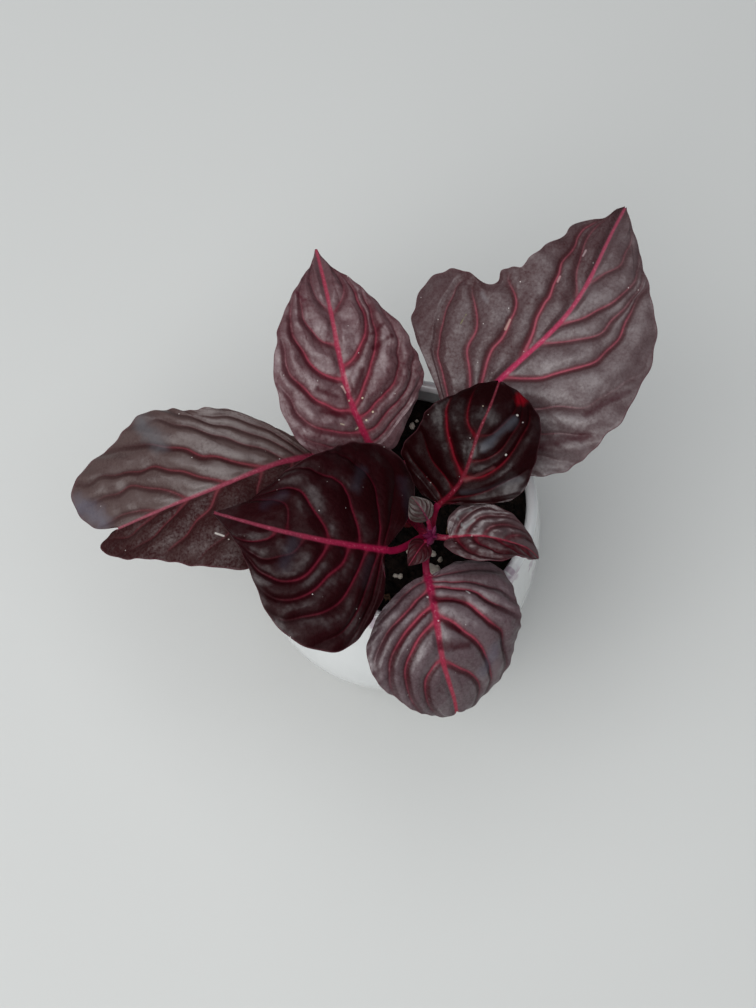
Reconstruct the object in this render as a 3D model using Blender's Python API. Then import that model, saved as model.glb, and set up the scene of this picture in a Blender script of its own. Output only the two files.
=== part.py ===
"""Potted bloodleaf: a young two-shoot plant in a round-bellied glazed pot filled with potting mix.

The origin is the centre of the pot's flat base, +Z is up and the plant leans towards -Y.
Each leaf is one closed sheet with its stalk: rows of points run along its side veins, from the
midrib out to the margin, and the sheet is bent along the midrib and across it.
"""

import math
from dataclasses import dataclass

import bmesh
import bpy
import numpy as np

MM = 0.001
GAP = 0.3 * MM

# Pot
RIM_RADIUS = 40.0 * MM
RIM_HEIGHT = 88.0 * MM
BELLY_RADIUS = 46.4 * MM
BELLY_HEIGHT = 36.5 * MM
FOOT_RADIUS = 30.0 * MM
FOOT_CHAMFER = 1.2 * MM
POT_WALL = 3.6 * MM
POT_FLOOR = 5.0 * MM
POT_SIDES = 48
INNER_STEPS = 9
OUTER_STEPS = 12
LOWER_BULGE = 2.2
UPPER_BULGE = 2.0

# Potting mix
SOIL_LEVEL = 76.0 * MM
SOIL_CRUMB = 0.9 * MM
SOIL_DOME = 1.5 * MM
SOIL_RINGS = 11
SOIL_SIDES = 40
STEM_HOLE_DEPTH = 16.0 * MM
SEED = 11

# Stems
STEM_FOOT = (2.0, -3.0)
STEM_RADIUS = 2.5 * MM
STEM_SIDES = 8
FORK_HEIGHT = 79.0
BACK_SHOOT = ((1.8, -2.6, FORK_HEIGHT), (0.4, 1.5, 84.0), (-1.6, 5.6, 89.0), (-2.4, 8.2, 94.0))
FRONT_SHOOT = ((2.0, -3.0, FORK_HEIGHT), (3.6, -7.4, 88.0), (6.6, -14.4, 98.0), (8.5, -18.8, 108.5))
BACK_SHOOT_RADII = (1.9 * MM, 1.0 * MM)
FRONT_SHOOT_RADII = (2.0 * MM, 0.9 * MM)
STUB_REACH = 2.6 * MM

# Leaves
BLADE_THICKNESS = 0.7 * MM
RIB_DEPTH = 1.0  # times the stalk's radius
RIB_HALF_WIDTH = 0.9 * MM
TIP_HALF_WIDTH = 0.35 * MM
QUILT_HEIGHT = 0.45 * MM
VEIN_CROWDING = 1.55
VEIN_FORWARD = 0.25
VEIN_SPREAD = 0.62
STALK_RINGS = 5
STALK_WIDTH = 0.94
STALK_CROWN = 0.7
STALK_KEEL = 0.9
STALK_SWELL = 1.12
RIB_TAPER = 0.8
COLUMNS = (0.0, 0.1, 0.32, 0.58, 0.82, 1.0)
YOUNG_COLUMNS = (0.0, 0.15, 0.55, 1.0)


@dataclass
class Leaf:
    """One leaf, in millimetres and degrees.

    joint: the point on the stem's centre line that the stalk grows from.
    midrib: points from the blade's base to its tip.
    left, right: the outline of each half, laid flat, as (along the midrib, out from it).
    bend_left, bend_right: (rise at the midrib, more rise for each 10 mm outwards).
    wave: (height, number, phase) of the margin's waves.
    """

    name: str
    colour: tuple
    joint: tuple
    midrib: tuple
    left: tuple
    right: tuple
    bend_left: tuple
    bend_right: tuple
    wave: tuple = (0.0, 3, 0.0)
    stalk_radius: float = 1.1
    rows: int = 17
    columns: tuple = COLUMNS


LEAVES = (
    Leaf(
        name="leaf_front_left",
        colour=(0.030, 0.004, 0.009),
        joint=(7.6, -16.8, 103.5),
        midrib=((-4, -27, 113), (-21, -30, 121), (-37, -29, 121), (-54, -24, 112)),
        left=((2, 3), (1, 10), (3, 18), (11, 29), (20, 30), (29, 24), (38, 11), (48, 4)),
        right=((-2, 3), (-8, 10), (-13, 20), (-11, 29), (-1, 34), (18, 30), (38, 19), (48, 6)),
        bend_left=(0, -8),
        bend_right=(0, -3),
        wave=(0.7, 3, 0.5),
    ),
    Leaf(
        name="leaf_far_left",
        colour=(0.045, 0.008, 0.014),
        joint=(-1.4, 5.2, 88.4),
        midrib=((-30, 4, 98), (-40, -2, 102), (-53, -11, 103), (-67, -18, 98), (-84, -25, 87)),
        left=((1, 6), (5, 15), (14, 24), (26, 27.5), (39, 23), (56, 14), (68, 9), (74, 3)),
        right=((1, 4), (7, 9), (19, 21), (31, 26), (46, 31), (59, 28), (72, 23), (79, 17), (79, 9),
               (74, 3)),
        bend_left=(10, -8),
        bend_right=(10, -6),
        wave=(0.9, 4, 1.0),
        stalk_radius=1.2,
        rows=19,
    ),
    Leaf(
        name="leaf_back_left",
        colour=(0.075, 0.028, 0.040),
        joint=(-1.9, 6.6, 90.6),
        midrib=((-13, 9, 99), (-20, 17, 107), (-25, 26, 112), (-30, 39, 115), (-35, 53, 114),
                (-40, 67, 110)),
        left=((1, 8), (6, 15), (13, 19.5), (25, 20.5), (35, 18.5), (47, 13.5), (58, 6), (64, 2.5)),
        right=((-3, 5), (-1, 10), (4, 17), (13, 23.5), (27, 23.5), (41, 17.5), (53, 9), (63, 2.5)),
        bend_left=(8, -9),
        bend_right=(8, -9),
        wave=(0.6, 4, 0.0),
        rows=19,
    ),
    Leaf(
        name="leaf_back_right",
        colour=(0.062, 0.024, 0.034),
        joint=(-2.2, 7.6, 92.4),
        midrib=((10, 17, 103), (22, 32, 115), (38, 52, 124), (46, 74, 127), (51, 90, 125)),
        left=((2, 4), (7, 12), (13, 28), (19, 37), (29, 39), (36, 33), (39, 24), (45, 22.5),
              (54, 20), (66, 15), (76, 11), (84, 3)),
        right=((-1, 5), (1, 15), (7, 26), (14, 32.5), (29, 34.5), (46, 31), (57, 25), (66, 17),
               (77, 10), (86, 3)),
        bend_left=(10, -7),
        bend_right=(10, -7),
        wave=(1.0, 4, 2.2),
        stalk_radius=1.3,
        rows=21,
    ),
    Leaf(
        name="leaf_upper_right",
        colour=(0.026, 0.003, 0.008),
        joint=(7.8, -17.0, 104.4),
        midrib=((9, -10, 112), (14, -5, 121), (16, 5, 129), (18, 13, 131), (20, 23, 129)),
        left=((-2, 4), (-5, 12), (-8, 19), (-7, 24), (4, 24), (20, 18), (30, 11), (39, 5.5)),
        right=((3, 1.5), (9, 7), (12, 14), (17, 18.5), (27, 19), (36, 16), (41, 11), (43, 5)),
        bend_left=(-12, -5),
        bend_right=(-4, -9),
        wave=(0.6, 3, 1.4),
        rows=15,
    ),
    Leaf(
        name="leaf_front",
        colour=(0.085, 0.030, 0.045),
        joint=(7.0, -15.4, 100.0),
        midrib=((9, -29, 103), (13, -42, 107), (17, -53, 102), (22, -60, 92), (24, -63, 86)),
        left=((1, 2), (-3, 7), (-5, 15), (-1, 22.5), (12, 25.5), (27, 25.5), (38, 21), (46, 12),
              (49.5, 5)),
        right=((1, 2), (4, 9), (12, 17), (20, 21), (30, 19), (38, 14), (45, 8), (48.5, 3)),
        bend_left=(0, -8),
        bend_right=(0, -8),
        wave=(0.6, 4, 0.8),
        rows=17,
    ),
    Leaf(
        name="leaf_small_right",
        colour=(0.070, 0.015, 0.026),
        joint=(8.2, -18.2, 106.4),
        midrib=((13.5, -18.6, 109), (20, -18, 112), (25, -18, 113), (30, -18, 112),
                (36, -18, 109), (40, -19, 105)),
        left=((0, 5), (4, 9), (10, 10), (17, 8), (24, 4)),
        right=((-1, 3), (3, 7), (9, 9), (15, 8.5), (20, 4.5), (25, 3)),
        bend_left=(15, -8),
        bend_right=(30, -14),
        wave=(0.5, 2, 0.3),
        stalk_radius=0.9,
        rows=13,
    ),
    Leaf(
        name="young_leaf_front",
        colour=(0.060, 0.002, 0.010),
        joint=(8.4, -18.6, 107.4),
        midrib=((6.6, -21.6, 109.4), (5.4, -24, 110.2), (4.2, -26.6, 109.6), (3.2, -28.6, 108)),
        left=((0.5, 2.2), (2.5, 4), (5, 3.2)),
        right=((0.5, 2), (2.5, 3.4), (5, 2.6)),
        bend_left=(25, -40),
        bend_right=(25, -40),
        stalk_radius=0.7,
        rows=8,
        columns=YOUNG_COLUMNS,
    ),
    Leaf(
        name="young_leaf_inner",
        colour=(0.060, 0.030, 0.034),
        joint=(8.5, -18.7, 108.2),
        midrib=((6.4, -15.2, 111.4), (4.4, -13.2, 113), (2.4, -11.2, 113.4), (0.6, -9.6, 112.6)),
        left=((0.5, 2.2), (3, 4.6), (5.5, 3.6)),
        right=((0.5, 2), (3, 3.4), (5.5, 2.6)),
        bend_left=(10, -25),
        bend_right=(10, -25),
        stalk_radius=0.7,
        rows=8,
        columns=YOUNG_COLUMNS,
    ),
)


def clear_scene():
    for obj in list(bpy.data.objects):
        bpy.data.objects.remove(obj, do_unlink=True)


def make_material(name, colour, roughness, metallic=0.0):
    material = bpy.data.materials.new(name)
    material.use_nodes = True
    shader = material.node_tree.nodes["Principled BSDF"]
    shader.inputs["Base Color"].default_value = (*colour, 1.0)
    shader.inputs["Roughness"].default_value = roughness
    shader.inputs["Metallic"].default_value = metallic
    return material


def make_object(name, points, faces, material, parent, origin=(0.0, 0.0, 0.0)):
    """A smooth-shaded mesh object whose points are given in the world and kept from its origin."""
    local = np.asarray(points) - np.asarray(origin)
    mesh = bpy.data.meshes.new(name)
    mesh.from_pydata(local.tolist(), [], faces)
    mesh.materials.append(material)
    mesh.validate()
    mesh.shade_smooth()
    mesh.set_sharp_from_angle(angle=math.radians(50))
    obj = bpy.data.objects.new(name, mesh)
    obj.location = origin
    obj.parent = parent
    bpy.context.scene.collection.objects.link(obj)
    return obj


def unit(vectors):
    return vectors / np.linalg.norm(vectors, axis=-1, keepdims=True)


def natural_spline(points, count):
    """Points on the natural cubic curve through the given ones, spaced by the root of their distance."""
    points = np.asarray(points, float)
    steps = np.sqrt(np.linalg.norm(np.diff(points, axis=0), axis=1))
    knots = np.concatenate([[0.0], np.cumsum(steps)])
    size = len(points)
    system = np.eye(size)
    target = np.zeros_like(points)
    for i in range(1, size - 1):
        before, after = steps[i - 1], steps[i]
        system[i, i - 1:i + 2] = (before, 2.0 * (before + after), after)
        rise = (points[i + 1] - points[i]) / after - (points[i] - points[i - 1]) / before
        target[i] = 6.0 * rise
    second = np.linalg.solve(system, target)
    where = np.linspace(0.0, knots[-1], count)
    span = np.clip(np.searchsorted(knots, where, side="right") - 1, 0, size - 2)
    width = steps[span][:, None]
    left = (knots[span + 1] - where)[:, None]
    right = (where - knots[span])[:, None]
    bowed = (second[span] * left**3 + second[span + 1] * right**3) / (6.0 * width)
    first = (points[span] / width - second[span] * width / 6.0) * left
    last = (points[span + 1] / width - second[span + 1] * width / 6.0) * right
    return bowed + first + last


def spaced_evenly(points, fractions):
    """Points at the given fractions of a dense line's length."""
    lengths = np.concatenate([[0.0], np.cumsum(np.linalg.norm(np.diff(points, axis=0), axis=1))])
    wanted = np.asarray(fractions) * lengths[-1]
    return np.stack([np.interp(wanted, lengths, points[:, k]) for k in range(points.shape[1])], -1)


class Midrib:
    """A leaf's midrib: a curve with a tangent, an upward normal and a leftward direction along it."""

    def __init__(self, points):
        self.points = natural_spline(points, 240)
        steps = np.linalg.norm(np.diff(self.points, axis=0), axis=1)
        self.along = np.concatenate([[0.0], np.cumsum(steps)])
        self.length = self.along[-1]
        self.tangents = unit(np.gradient(self.points, self.along, axis=0))

    def at(self, along):
        """Place, tangent, normal and left at each distance; past either end the rib runs on straight."""
        inside = np.clip(along, 0.0, self.length)

        def read(values):
            return np.stack([np.interp(inside, self.along, values[:, k]) for k in range(3)], -1)

        tangent = unit(read(self.tangents))
        place = read(self.points) + tangent * (along - inside)[..., None]
        normal = unit(np.array([0.0, 0.0, 1.0]) - tangent * tangent[..., 2:])
        return place, tangent, normal, np.cross(normal, tangent)


def outline_points(flat_points, stalk_radius, length, fractions):
    """The margin of one half, from the stalk to the tip, at fractions of its length."""
    ends = [(0.0, stalk_radius), *flat_points, (length, TIP_HALF_WIDTH / MM)]
    return spaced_evenly(natural_spline(ends, 300), fractions)


def half_sheet(leaf, side, fractions, length):
    """Flat places of one half: each row arcs from the midrib forward and out to the margin."""
    outline = leaf.left if side > 0 else leaf.right
    margin = outline_points(outline, leaf.stalk_radius, length, fractions)
    start = length * fractions**VEIN_CROWDING
    control_along = start + VEIN_FORWARD * (margin[:, 0] - start)
    control_out = VEIN_SPREAD * margin[:, 1]
    rib = RIB_HALF_WIDTH / MM / (2.0 * VEIN_SPREAD * margin[:, 1])
    across = np.repeat(np.array(leaf.columns)[None, :], len(fractions), axis=0)
    across[:, 1] = np.minimum(across[:, 1], rib)
    rest = 1.0 - across
    along = rest**2 * start[:, None] + 2 * across * rest * control_along[:, None]
    along += across**2 * margin[:, :1]
    out = 2 * across * rest * control_out[:, None] + across**2 * margin[:, 1:]
    return along, out, across


def bent_half(leaf, side, fractions, midrib):
    """Middle surface and normals of one half: a curl of steady change outwards, quilting and waves."""
    along, out, across = half_sheet(leaf, side, fractions, midrib.length)
    rise, curl = leaf.bend_left if side > 0 else leaf.bend_right
    rise = math.radians(rise)
    curl = math.radians(curl) / 10.0
    place, _, normal, left = midrib.at(along)
    angle = rise + curl * out
    level = (np.sin(angle) - math.sin(rise)) / curl
    lift = (math.cos(rise) - np.cos(angle)) / curl
    outward = left * side
    surface = place + outward * level[..., None] + normal * lift[..., None]
    facing = normal * np.cos(angle)[..., None] - outward * np.sin(angle)[..., None]
    facing[:, 0] = normal[:, 0]
    row = np.arange(len(fractions))[:, None]
    quilt = np.where(row % 2 == 0, -0.5, 0.5) * QUILT_HEIGHT / MM
    quilt = quilt * np.sin(np.pi * np.clip(across, 0.0, 0.92)) * np.sin(np.pi * fractions)[:, None]
    height, number, phase = leaf.wave
    wave = height * across**3 * np.sin(2 * np.pi * number * fractions + phase)[:, None]
    surface = surface + facing * (quilt + wave)[..., None]
    return surface, facing


def stalk_path(leaf, midrib):
    """Where the stalk starts, its first direction, and its centre points up to the blade's base."""
    joint = np.array(leaf.joint, float)
    base, tangent, _, _ = midrib.at(np.array([0.0]))
    away = unit(base[0] - joint)
    start = joint + away * STUB_REACH / MM
    reach = np.linalg.norm(base[0] - start)
    u = np.linspace(0.0, 1.0, STALK_RINGS, endpoint=False)[:, None]
    bend = (2 * u**3 - 3 * u**2 + 1) * start + (u**3 - 2 * u**2 + u) * away * reach
    centres = bend + (3 * u**2 - 2 * u**3) * base[0] + (u**3 - u**2) * tangent[0] * reach
    return start, away, centres


def stalk_loops(leaf, midrib):
    """The stalk's rings, each an upper and a lower half with as many points as a blade's row."""
    _, away, centres = stalk_path(leaf, midrib)
    base, _, _, _ = midrib.at(np.array([0.0]))
    points = np.vstack([centres, base])
    directions = unit(np.gradient(points, axis=0))[:-1]
    directions[0] = away
    normals = unit(np.array([0.0, 0.0, 1.0]) - directions * directions[:, 2:])
    lefts = np.cross(normals, directions)
    width = 2 * len(leaf.columns) - 1
    turn = np.linspace(0.0, np.pi, width)
    flat = np.cos(turn)[None, :, None] * lefts[:, None, :]
    high = np.sin(turn)[None, :, None] * normals[:, None, :]
    swell = np.linspace(STALK_SWELL, 1.0, STALK_RINGS)[:, None, None] * leaf.stalk_radius
    middle = centres[:, None, :]
    # The two halves of a ring meet without sharing a point, as a blade's margin has a thickness.
    edge = 0.5 * BLADE_THICKNESS / MM * normals[:, None, :]
    upper = middle + swell * (STALK_WIDTH * flat + STALK_CROWN * high) + edge
    lower = middle + swell * (STALK_WIDTH * flat - STALK_KEEL * high) - edge
    return upper, lower


def blade_loops(leaf, midrib):
    """The blade's rows from left margin to right margin, on its upper and its lower face."""
    fractions = np.linspace(0.0, 1.0, leaf.rows)
    left, left_facing = bent_half(leaf, 1, fractions, midrib)
    right, right_facing = bent_half(leaf, -1, fractions, midrib)
    surface = np.concatenate([left[:, ::-1], right[:, 1:]], axis=1)
    facing = np.concatenate([left_facing[:, ::-1], right_facing[:, 1:]], axis=1)
    centre = len(leaf.columns) - 1
    rib = np.zeros(surface.shape[1])
    rib[centre] = RIB_DEPTH * leaf.stalk_radius
    taper = 1.0 - RIB_TAPER * fractions
    half = 0.5 * BLADE_THICKNESS / MM
    upper = surface + facing * half
    lower = surface - facing * (half + rib[None, :] * taper[:, None])[..., None]
    return upper, lower


def leaf_faces(rows, width):
    """Triangles of both faces, the margin strips and the two ends of a leaf of that many rows."""
    index = np.arange(2 * rows * width).reshape(2, rows, width)
    upper, lower = index
    faces = []
    for i in range(rows - 1):
        for j in range(width - 1):
            a, b = upper[i, j], upper[i, j + 1]
            c, d = upper[i + 1, j + 1], upper[i + 1, j]
            faces += [(a, b, c), (a, c, d)]
            a, b = lower[i, j], lower[i, j + 1]
            c, d = lower[i + 1, j + 1], lower[i + 1, j]
            faces += [(a, c, b), (a, d, c)]
        for j, turned in ((0, False), (width - 1, True)):
            strip = (upper[i, j], upper[i + 1, j], lower[i + 1, j], lower[i, j])
            faces.append(strip[::-1] if turned else strip)
    for i, turned in ((0, True), (rows - 1, False)):
        for j in range(width - 1):
            strip = (upper[i, j], upper[i, j + 1], lower[i, j + 1], lower[i, j])
            faces.append(strip[::-1] if turned else strip)
    return [tuple(int(k) for k in face) for face in faces]


def make_leaf(leaf, parent):
    midrib = Midrib(leaf.midrib)
    stalk_upper, stalk_lower = stalk_loops(leaf, midrib)
    blade_upper, blade_lower = blade_loops(leaf, midrib)
    upper = np.concatenate([stalk_upper, blade_upper])
    lower = np.concatenate([stalk_lower, blade_lower])
    points = np.stack([upper, lower]).reshape(-1, 3) * MM
    faces = leaf_faces(len(upper), upper.shape[1])
    material = make_material(leaf.name, leaf.colour, 0.42)
    origin = np.array(leaf.joint) * MM
    obj = make_object(leaf.name, points, faces, material, parent, origin)
    face_outwards(obj)
    return obj


def face_outwards(obj):
    mesh = bmesh.new()
    mesh.from_mesh(obj.data)
    bmesh.ops.recalc_face_normals(mesh, faces=mesh.faces)
    mesh.to_mesh(obj.data)
    mesh.free()


def pot_outer(height):
    """The pot's outer radius at a height: two bulges that meet at the belly."""
    below = ((BELLY_HEIGHT - height) / BELLY_HEIGHT) ** LOWER_BULGE if height < BELLY_HEIGHT else 0.0
    above = (height - BELLY_HEIGHT) / (RIM_HEIGHT - BELLY_HEIGHT) if height > BELLY_HEIGHT else 0.0
    radius = BELLY_RADIUS - (BELLY_RADIUS - FOOT_RADIUS) * below
    return radius - (BELLY_RADIUS - RIM_RADIUS) * above**UPPER_BULGE


def pot_inner(height):
    return pot_outer(height) - POT_WALL


def pot_profile():
    """The wall's section, from the middle of the inner floor up, over the lip and down to the base."""
    lip = POT_WALL / 2
    lip_height = RIM_HEIGHT - lip
    points = [(0.0, POT_FLOOR), (pot_inner(POT_FLOOR) - 5 * MM, POT_FLOOR)]
    points += [(pot_inner(h), h) for h in np.linspace(POT_FLOOR + 3 * MM, lip_height, INNER_STEPS)]
    middle = pot_outer(lip_height) - lip
    for turn in np.linspace(np.pi, 0.0, 7)[1:-1]:
        points.append((middle + lip * math.cos(turn), lip_height + lip * math.sin(turn)))
    points += [(pot_outer(h), h) for h in np.linspace(lip_height, FOOT_CHAMFER, OUTER_STEPS)]
    points += [(pot_outer(0.0) - FOOT_CHAMFER, 0.0), (0.0, 0.0)]
    return points


def make_pot(parent):
    profile = pot_profile()
    mesh = bpy.data.meshes.new("pot")
    edges = [(i, i + 1) for i in range(len(profile) - 1)]
    mesh.from_pydata([(float(x), 0.0, float(z)) for x, z in profile], edges, [])
    mesh.materials.append(make_material("glazed_white", (0.80, 0.79, 0.78), 0.12))
    obj = bpy.data.objects.new("pot", mesh)
    obj.parent = parent
    bpy.context.scene.collection.objects.link(obj)
    turning = obj.modifiers.new("turned", "SCREW")
    turning.steps = POT_SIDES
    turning.render_steps = POT_SIDES
    turning.use_merge_vertices = True
    turning.merge_threshold = 0.00001
    turning.use_smooth_shade = True
    return obj


def soil_top_rings(rng):
    """Rings from the stem's hole out to the pot's wall, roughened by seeded crumbs."""
    hole = STEM_RADIUS + GAP
    edge = pot_inner(SOIL_LEVEL) - GAP
    rings = []
    for share in np.linspace(0.0, 1.0, SOIL_RINGS):
        crumbs = rng.uniform(-1.0, 1.0, SOIL_SIDES) * SOIL_CRUMB * min(1.0, 6 * share * (1.02 - share))
        heights = SOIL_LEVEL + SOIL_DOME * (1.0 - share**2) - SOIL_DOME + crumbs
        rings.append((hole + (edge - hole) * share, 1.0 - share, heights))
    return rings


def soil_rings():
    """Every ring of the potting mix, from the foot of the stem's hole round to its base."""
    hole = STEM_RADIUS + GAP
    flat = np.ones(SOIL_SIDES)
    rings = [(hole, 1.0, flat * (SOIL_LEVEL - STEM_HOLE_DEPTH))]
    rings += soil_top_rings(np.random.default_rng(SEED))
    bottom = POT_FLOOR + GAP
    for height in np.linspace(SOIL_LEVEL - 6 * MM, bottom + 3 * MM, 7):
        rings.append((pot_inner(height) - GAP, 0.0, flat * height))
    rings.append((pot_inner(bottom) - 5 * MM - GAP, 0.0, flat * bottom))
    return rings


def make_soil(parent):
    turn = np.linspace(0.0, 2 * np.pi, SOIL_SIDES, endpoint=False)
    foot = np.array(STEM_FOOT) * MM
    points = []
    for radius, shift, heights in soil_rings():
        xs = foot[0] * shift + radius * np.cos(turn)
        ys = foot[1] * shift + radius * np.sin(turn)
        points += list(zip(xs, ys, heights))
    count = len(points) // SOIL_SIDES
    faces = []
    for i in range(count - 1):
        for j in range(SOIL_SIDES):
            k = (j + 1) % SOIL_SIDES
            a, b = i * SOIL_SIDES + j, i * SOIL_SIDES + k
            c, d = a + SOIL_SIDES, b + SOIL_SIDES
            faces += [(a, c, d), (a, d, b)]
    faces.append(tuple(range(SOIL_SIDES)))
    faces.append(tuple(range((count - 1) * SOIL_SIDES, count * SOIL_SIDES))[::-1])
    material = make_material("potting_mix", (0.020, 0.014, 0.010), 0.95)
    obj = make_object("soil", points, faces, material, parent)
    face_outwards(obj)
    return obj


def make_tube(name, centres, radii, collection):
    """A tube with flat ends through the given centres, in metres."""
    curve = bpy.data.curves.new(name, "CURVE")
    curve.dimensions = "3D"
    curve.bevel_depth = 1.0
    curve.bevel_resolution = (STEM_SIDES - 4) // 2
    curve.use_fill_caps = True
    line = curve.splines.new("POLY")
    line.points.add(len(centres) - 1)
    for point, centre, radius in zip(line.points, centres, radii):
        point.co = (*centre, 1.0)
        point.radius = radius
    guide = bpy.data.objects.new(name + "_guide", curve)
    collection.objects.link(guide)
    bpy.context.view_layer.update()
    graph = bpy.context.evaluated_depsgraph_get()
    mesh = bpy.data.meshes.new_from_object(guide.evaluated_get(graph))
    bpy.data.objects.remove(guide, do_unlink=True)
    return weld_tube(name, mesh, collection)


def weld_tube(name, mesh, collection):
    shape = bmesh.new()
    shape.from_mesh(mesh)
    bmesh.ops.remove_doubles(shape, verts=shape.verts, dist=0.00001)
    bmesh.ops.recalc_face_normals(shape, faces=shape.faces)
    shape.to_mesh(mesh)
    shape.free()
    obj = bpy.data.objects.new(name, mesh)
    collection.objects.link(obj)
    return obj


def shoot_tube(name, points, radii, collection):
    """A shoot that thins from its first radius to its second and ends in a rounded bud."""
    centres = natural_spline(points, 9) * MM
    widths = list(np.linspace(*radii, len(centres)))
    last = centres[-1] + unit(centres[-1] - centres[-2]) * radii[1] * 0.8
    return make_tube(name, [*centres, last], [*widths, radii[1] * 0.45], collection)


def make_stems(parent):
    """The stem, its two shoots and a short stub for each stalk, joined into one body."""
    parts = bpy.data.collections.new("stem_parts")
    bpy.context.scene.collection.children.link(parts)
    foot = np.array([*STEM_FOOT, 0.0]) * MM
    low = SOIL_LEVEL - STEM_HOLE_DEPTH + GAP
    heights = (low, SOIL_LEVEL - 4 * MM, SOIL_LEVEL + 2 * MM, FORK_HEIGHT * MM + 2.4 * MM)
    centres = [foot + np.array([0.0, 0.0, height]) for height in heights]
    trunk = make_tube("stem", centres, [STEM_RADIUS * 0.95] * 3 + [STEM_RADIUS * 0.8], parts)
    shoot_tube("back_shoot", BACK_SHOOT, BACK_SHOOT_RADII, parts)
    shoot_tube("front_shoot", FRONT_SHOOT, FRONT_SHOOT_RADII, parts)
    for leaf in LEAVES:
        start, away, _ = stalk_path(leaf, Midrib(leaf.midrib))
        end = start * MM - away * GAP
        joint = np.array(leaf.joint) * MM
        radius = leaf.stalk_radius * MM
        make_tube("stub_" + leaf.name, [joint, end], [radius, radius * STALK_SWELL], parts)
    return fuse(trunk, parts, parent)


def fuse(base, parts, parent):
    """Joins a collection's objects to the first by one union, and removes them."""
    scene = bpy.context.scene.collection
    parts.objects.unlink(base)
    scene.objects.link(base)
    union = base.modifiers.new("joined", "BOOLEAN")
    union.operation = "UNION"
    union.operand_type = "COLLECTION"
    union.collection = parts
    bpy.context.view_layer.update()
    graph = bpy.context.evaluated_depsgraph_get()
    mesh = bpy.data.meshes.new_from_object(base.evaluated_get(graph))
    base.modifiers.clear()
    base.data = mesh
    for obj in list(parts.objects):
        bpy.data.objects.remove(obj, do_unlink=True)
    bpy.data.collections.remove(parts)
    mesh.materials.clear()
    mesh.materials.append(make_material("red_stem", (0.35, 0.015, 0.07), 0.4))
    mesh.shade_smooth()
    mesh.set_sharp_from_angle(angle=math.radians(50))
    base.parent = parent
    return base


def main():
    clear_scene()
    whole = bpy.data.objects.new("potted_bloodleaf", None)
    bpy.context.scene.collection.objects.link(whole)
    plant = bpy.data.objects.new("plant", None)
    plant.parent = whole
    bpy.context.scene.collection.objects.link(plant)
    make_pot(whole)
    make_soil(whole)
    make_stems(plant)
    for leaf in LEAVES:
        make_leaf(leaf, plant)


main()
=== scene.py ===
"""Looks of a potted bloodleaf: fine leaves, stem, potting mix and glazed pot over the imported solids.

It is laid out as a Blender add-on and run as a script. Shapes are worked out in millimetres, in the
frame of the part: the origin is the centre of the pot's flat base and +Z is up.
"""

import math
from dataclasses import dataclass

import bpy
import numpy as np
from bpy.props import FloatProperty, FloatVectorProperty, IntProperty, PointerProperty
from mathutils import Matrix, Vector


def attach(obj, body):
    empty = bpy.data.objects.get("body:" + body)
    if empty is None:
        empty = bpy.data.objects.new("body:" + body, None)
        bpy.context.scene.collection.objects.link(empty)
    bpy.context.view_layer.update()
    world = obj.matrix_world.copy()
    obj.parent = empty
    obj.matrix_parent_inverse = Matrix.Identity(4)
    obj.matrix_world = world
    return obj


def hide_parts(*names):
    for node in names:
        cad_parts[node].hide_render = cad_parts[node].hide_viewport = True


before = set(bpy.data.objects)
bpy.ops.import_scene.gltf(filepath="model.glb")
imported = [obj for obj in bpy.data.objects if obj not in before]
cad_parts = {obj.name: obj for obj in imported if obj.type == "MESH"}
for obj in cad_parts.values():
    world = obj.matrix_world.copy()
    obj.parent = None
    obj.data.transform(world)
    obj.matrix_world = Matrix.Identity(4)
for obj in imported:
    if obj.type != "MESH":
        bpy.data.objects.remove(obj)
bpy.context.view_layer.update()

bl_info = {
    "name": "Potted bloodleaf",
    "version": (1, 0, 0),
    "blender": (4, 5, 0),
    "location": "3D View > Sidebar > Bloodleaf",
    "description": "Builds a young bloodleaf with dark veined leaves in a glazed white pot",
    "category": "Object",
}

MM = 0.001
UP = np.array([0.0, 0.0, 1.0])

# Pot, as in the solids
RIM_RADIUS, RIM_HEIGHT = 40.0, 88.0
BELLY_RADIUS, BELLY_HEIGHT = 46.4, 36.5
FOOT_RADIUS, FOOT_CHAMFER = 30.0, 1.2
POT_WALL, POT_FLOOR = 3.6, 5.0
LOWER_BULGE, UPPER_BULGE = 2.2, 2.0

# Potting mix
SOIL_LEVEL, SOIL_DOME = 76.0, 1.5
SOIL_RINGS, SOIL_SIDES = 84, 256
LUMPS, LUMP_RADII = 900, (0.6, 2.4)
BARK_CRUMBS = 26
# Grains that show between the leaves: x, y and size
SEEN_PERLITE = ((-1.8, 28.9, 1.1), (11.8, -18.2, 2.3), (0.3, -21.8, 0.8), (2.2, -21.8, 0.8),
                (-3.9, 26.0, 0.9), (10.8, -12.4, 1.0), (13.5, -13.9, 1.0))
SEEN_BARK = ((5.6, 34.0, 1.8), (2.0, 31.0, 1.3))

# Stems, as in the solids
STEM_FOOT = (2.0, -3.0)
STEM_RADIUS = 2.5
FORK_HEIGHT = 79.0
BACK_SHOOT = ((1.8, -2.6, FORK_HEIGHT), (0.4, 1.5, 84.0), (-1.6, 5.6, 89.0), (-2.4, 8.2, 94.0))
FRONT_SHOOT = ((2.0, -3.0, FORK_HEIGHT), (3.6, -7.4, 88.0), (6.6, -14.4, 98.0), (8.5, -18.8, 108.5))
BACK_SHOOT_RADII = (1.9, 1.0)
FRONT_SHOOT_RADII = (2.0, 0.9)
STUB_REACH = 2.6
# The folded leaves of the front shoot's bud: bearing, lift and length
BUD_LEAVES = ((205, 30, 3.6), (258, 8, 4.2), (120, 12, 3.8), (330, 40, 2.2), (80, 40, 3.0),
              (165, 55, 2.6))

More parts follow.
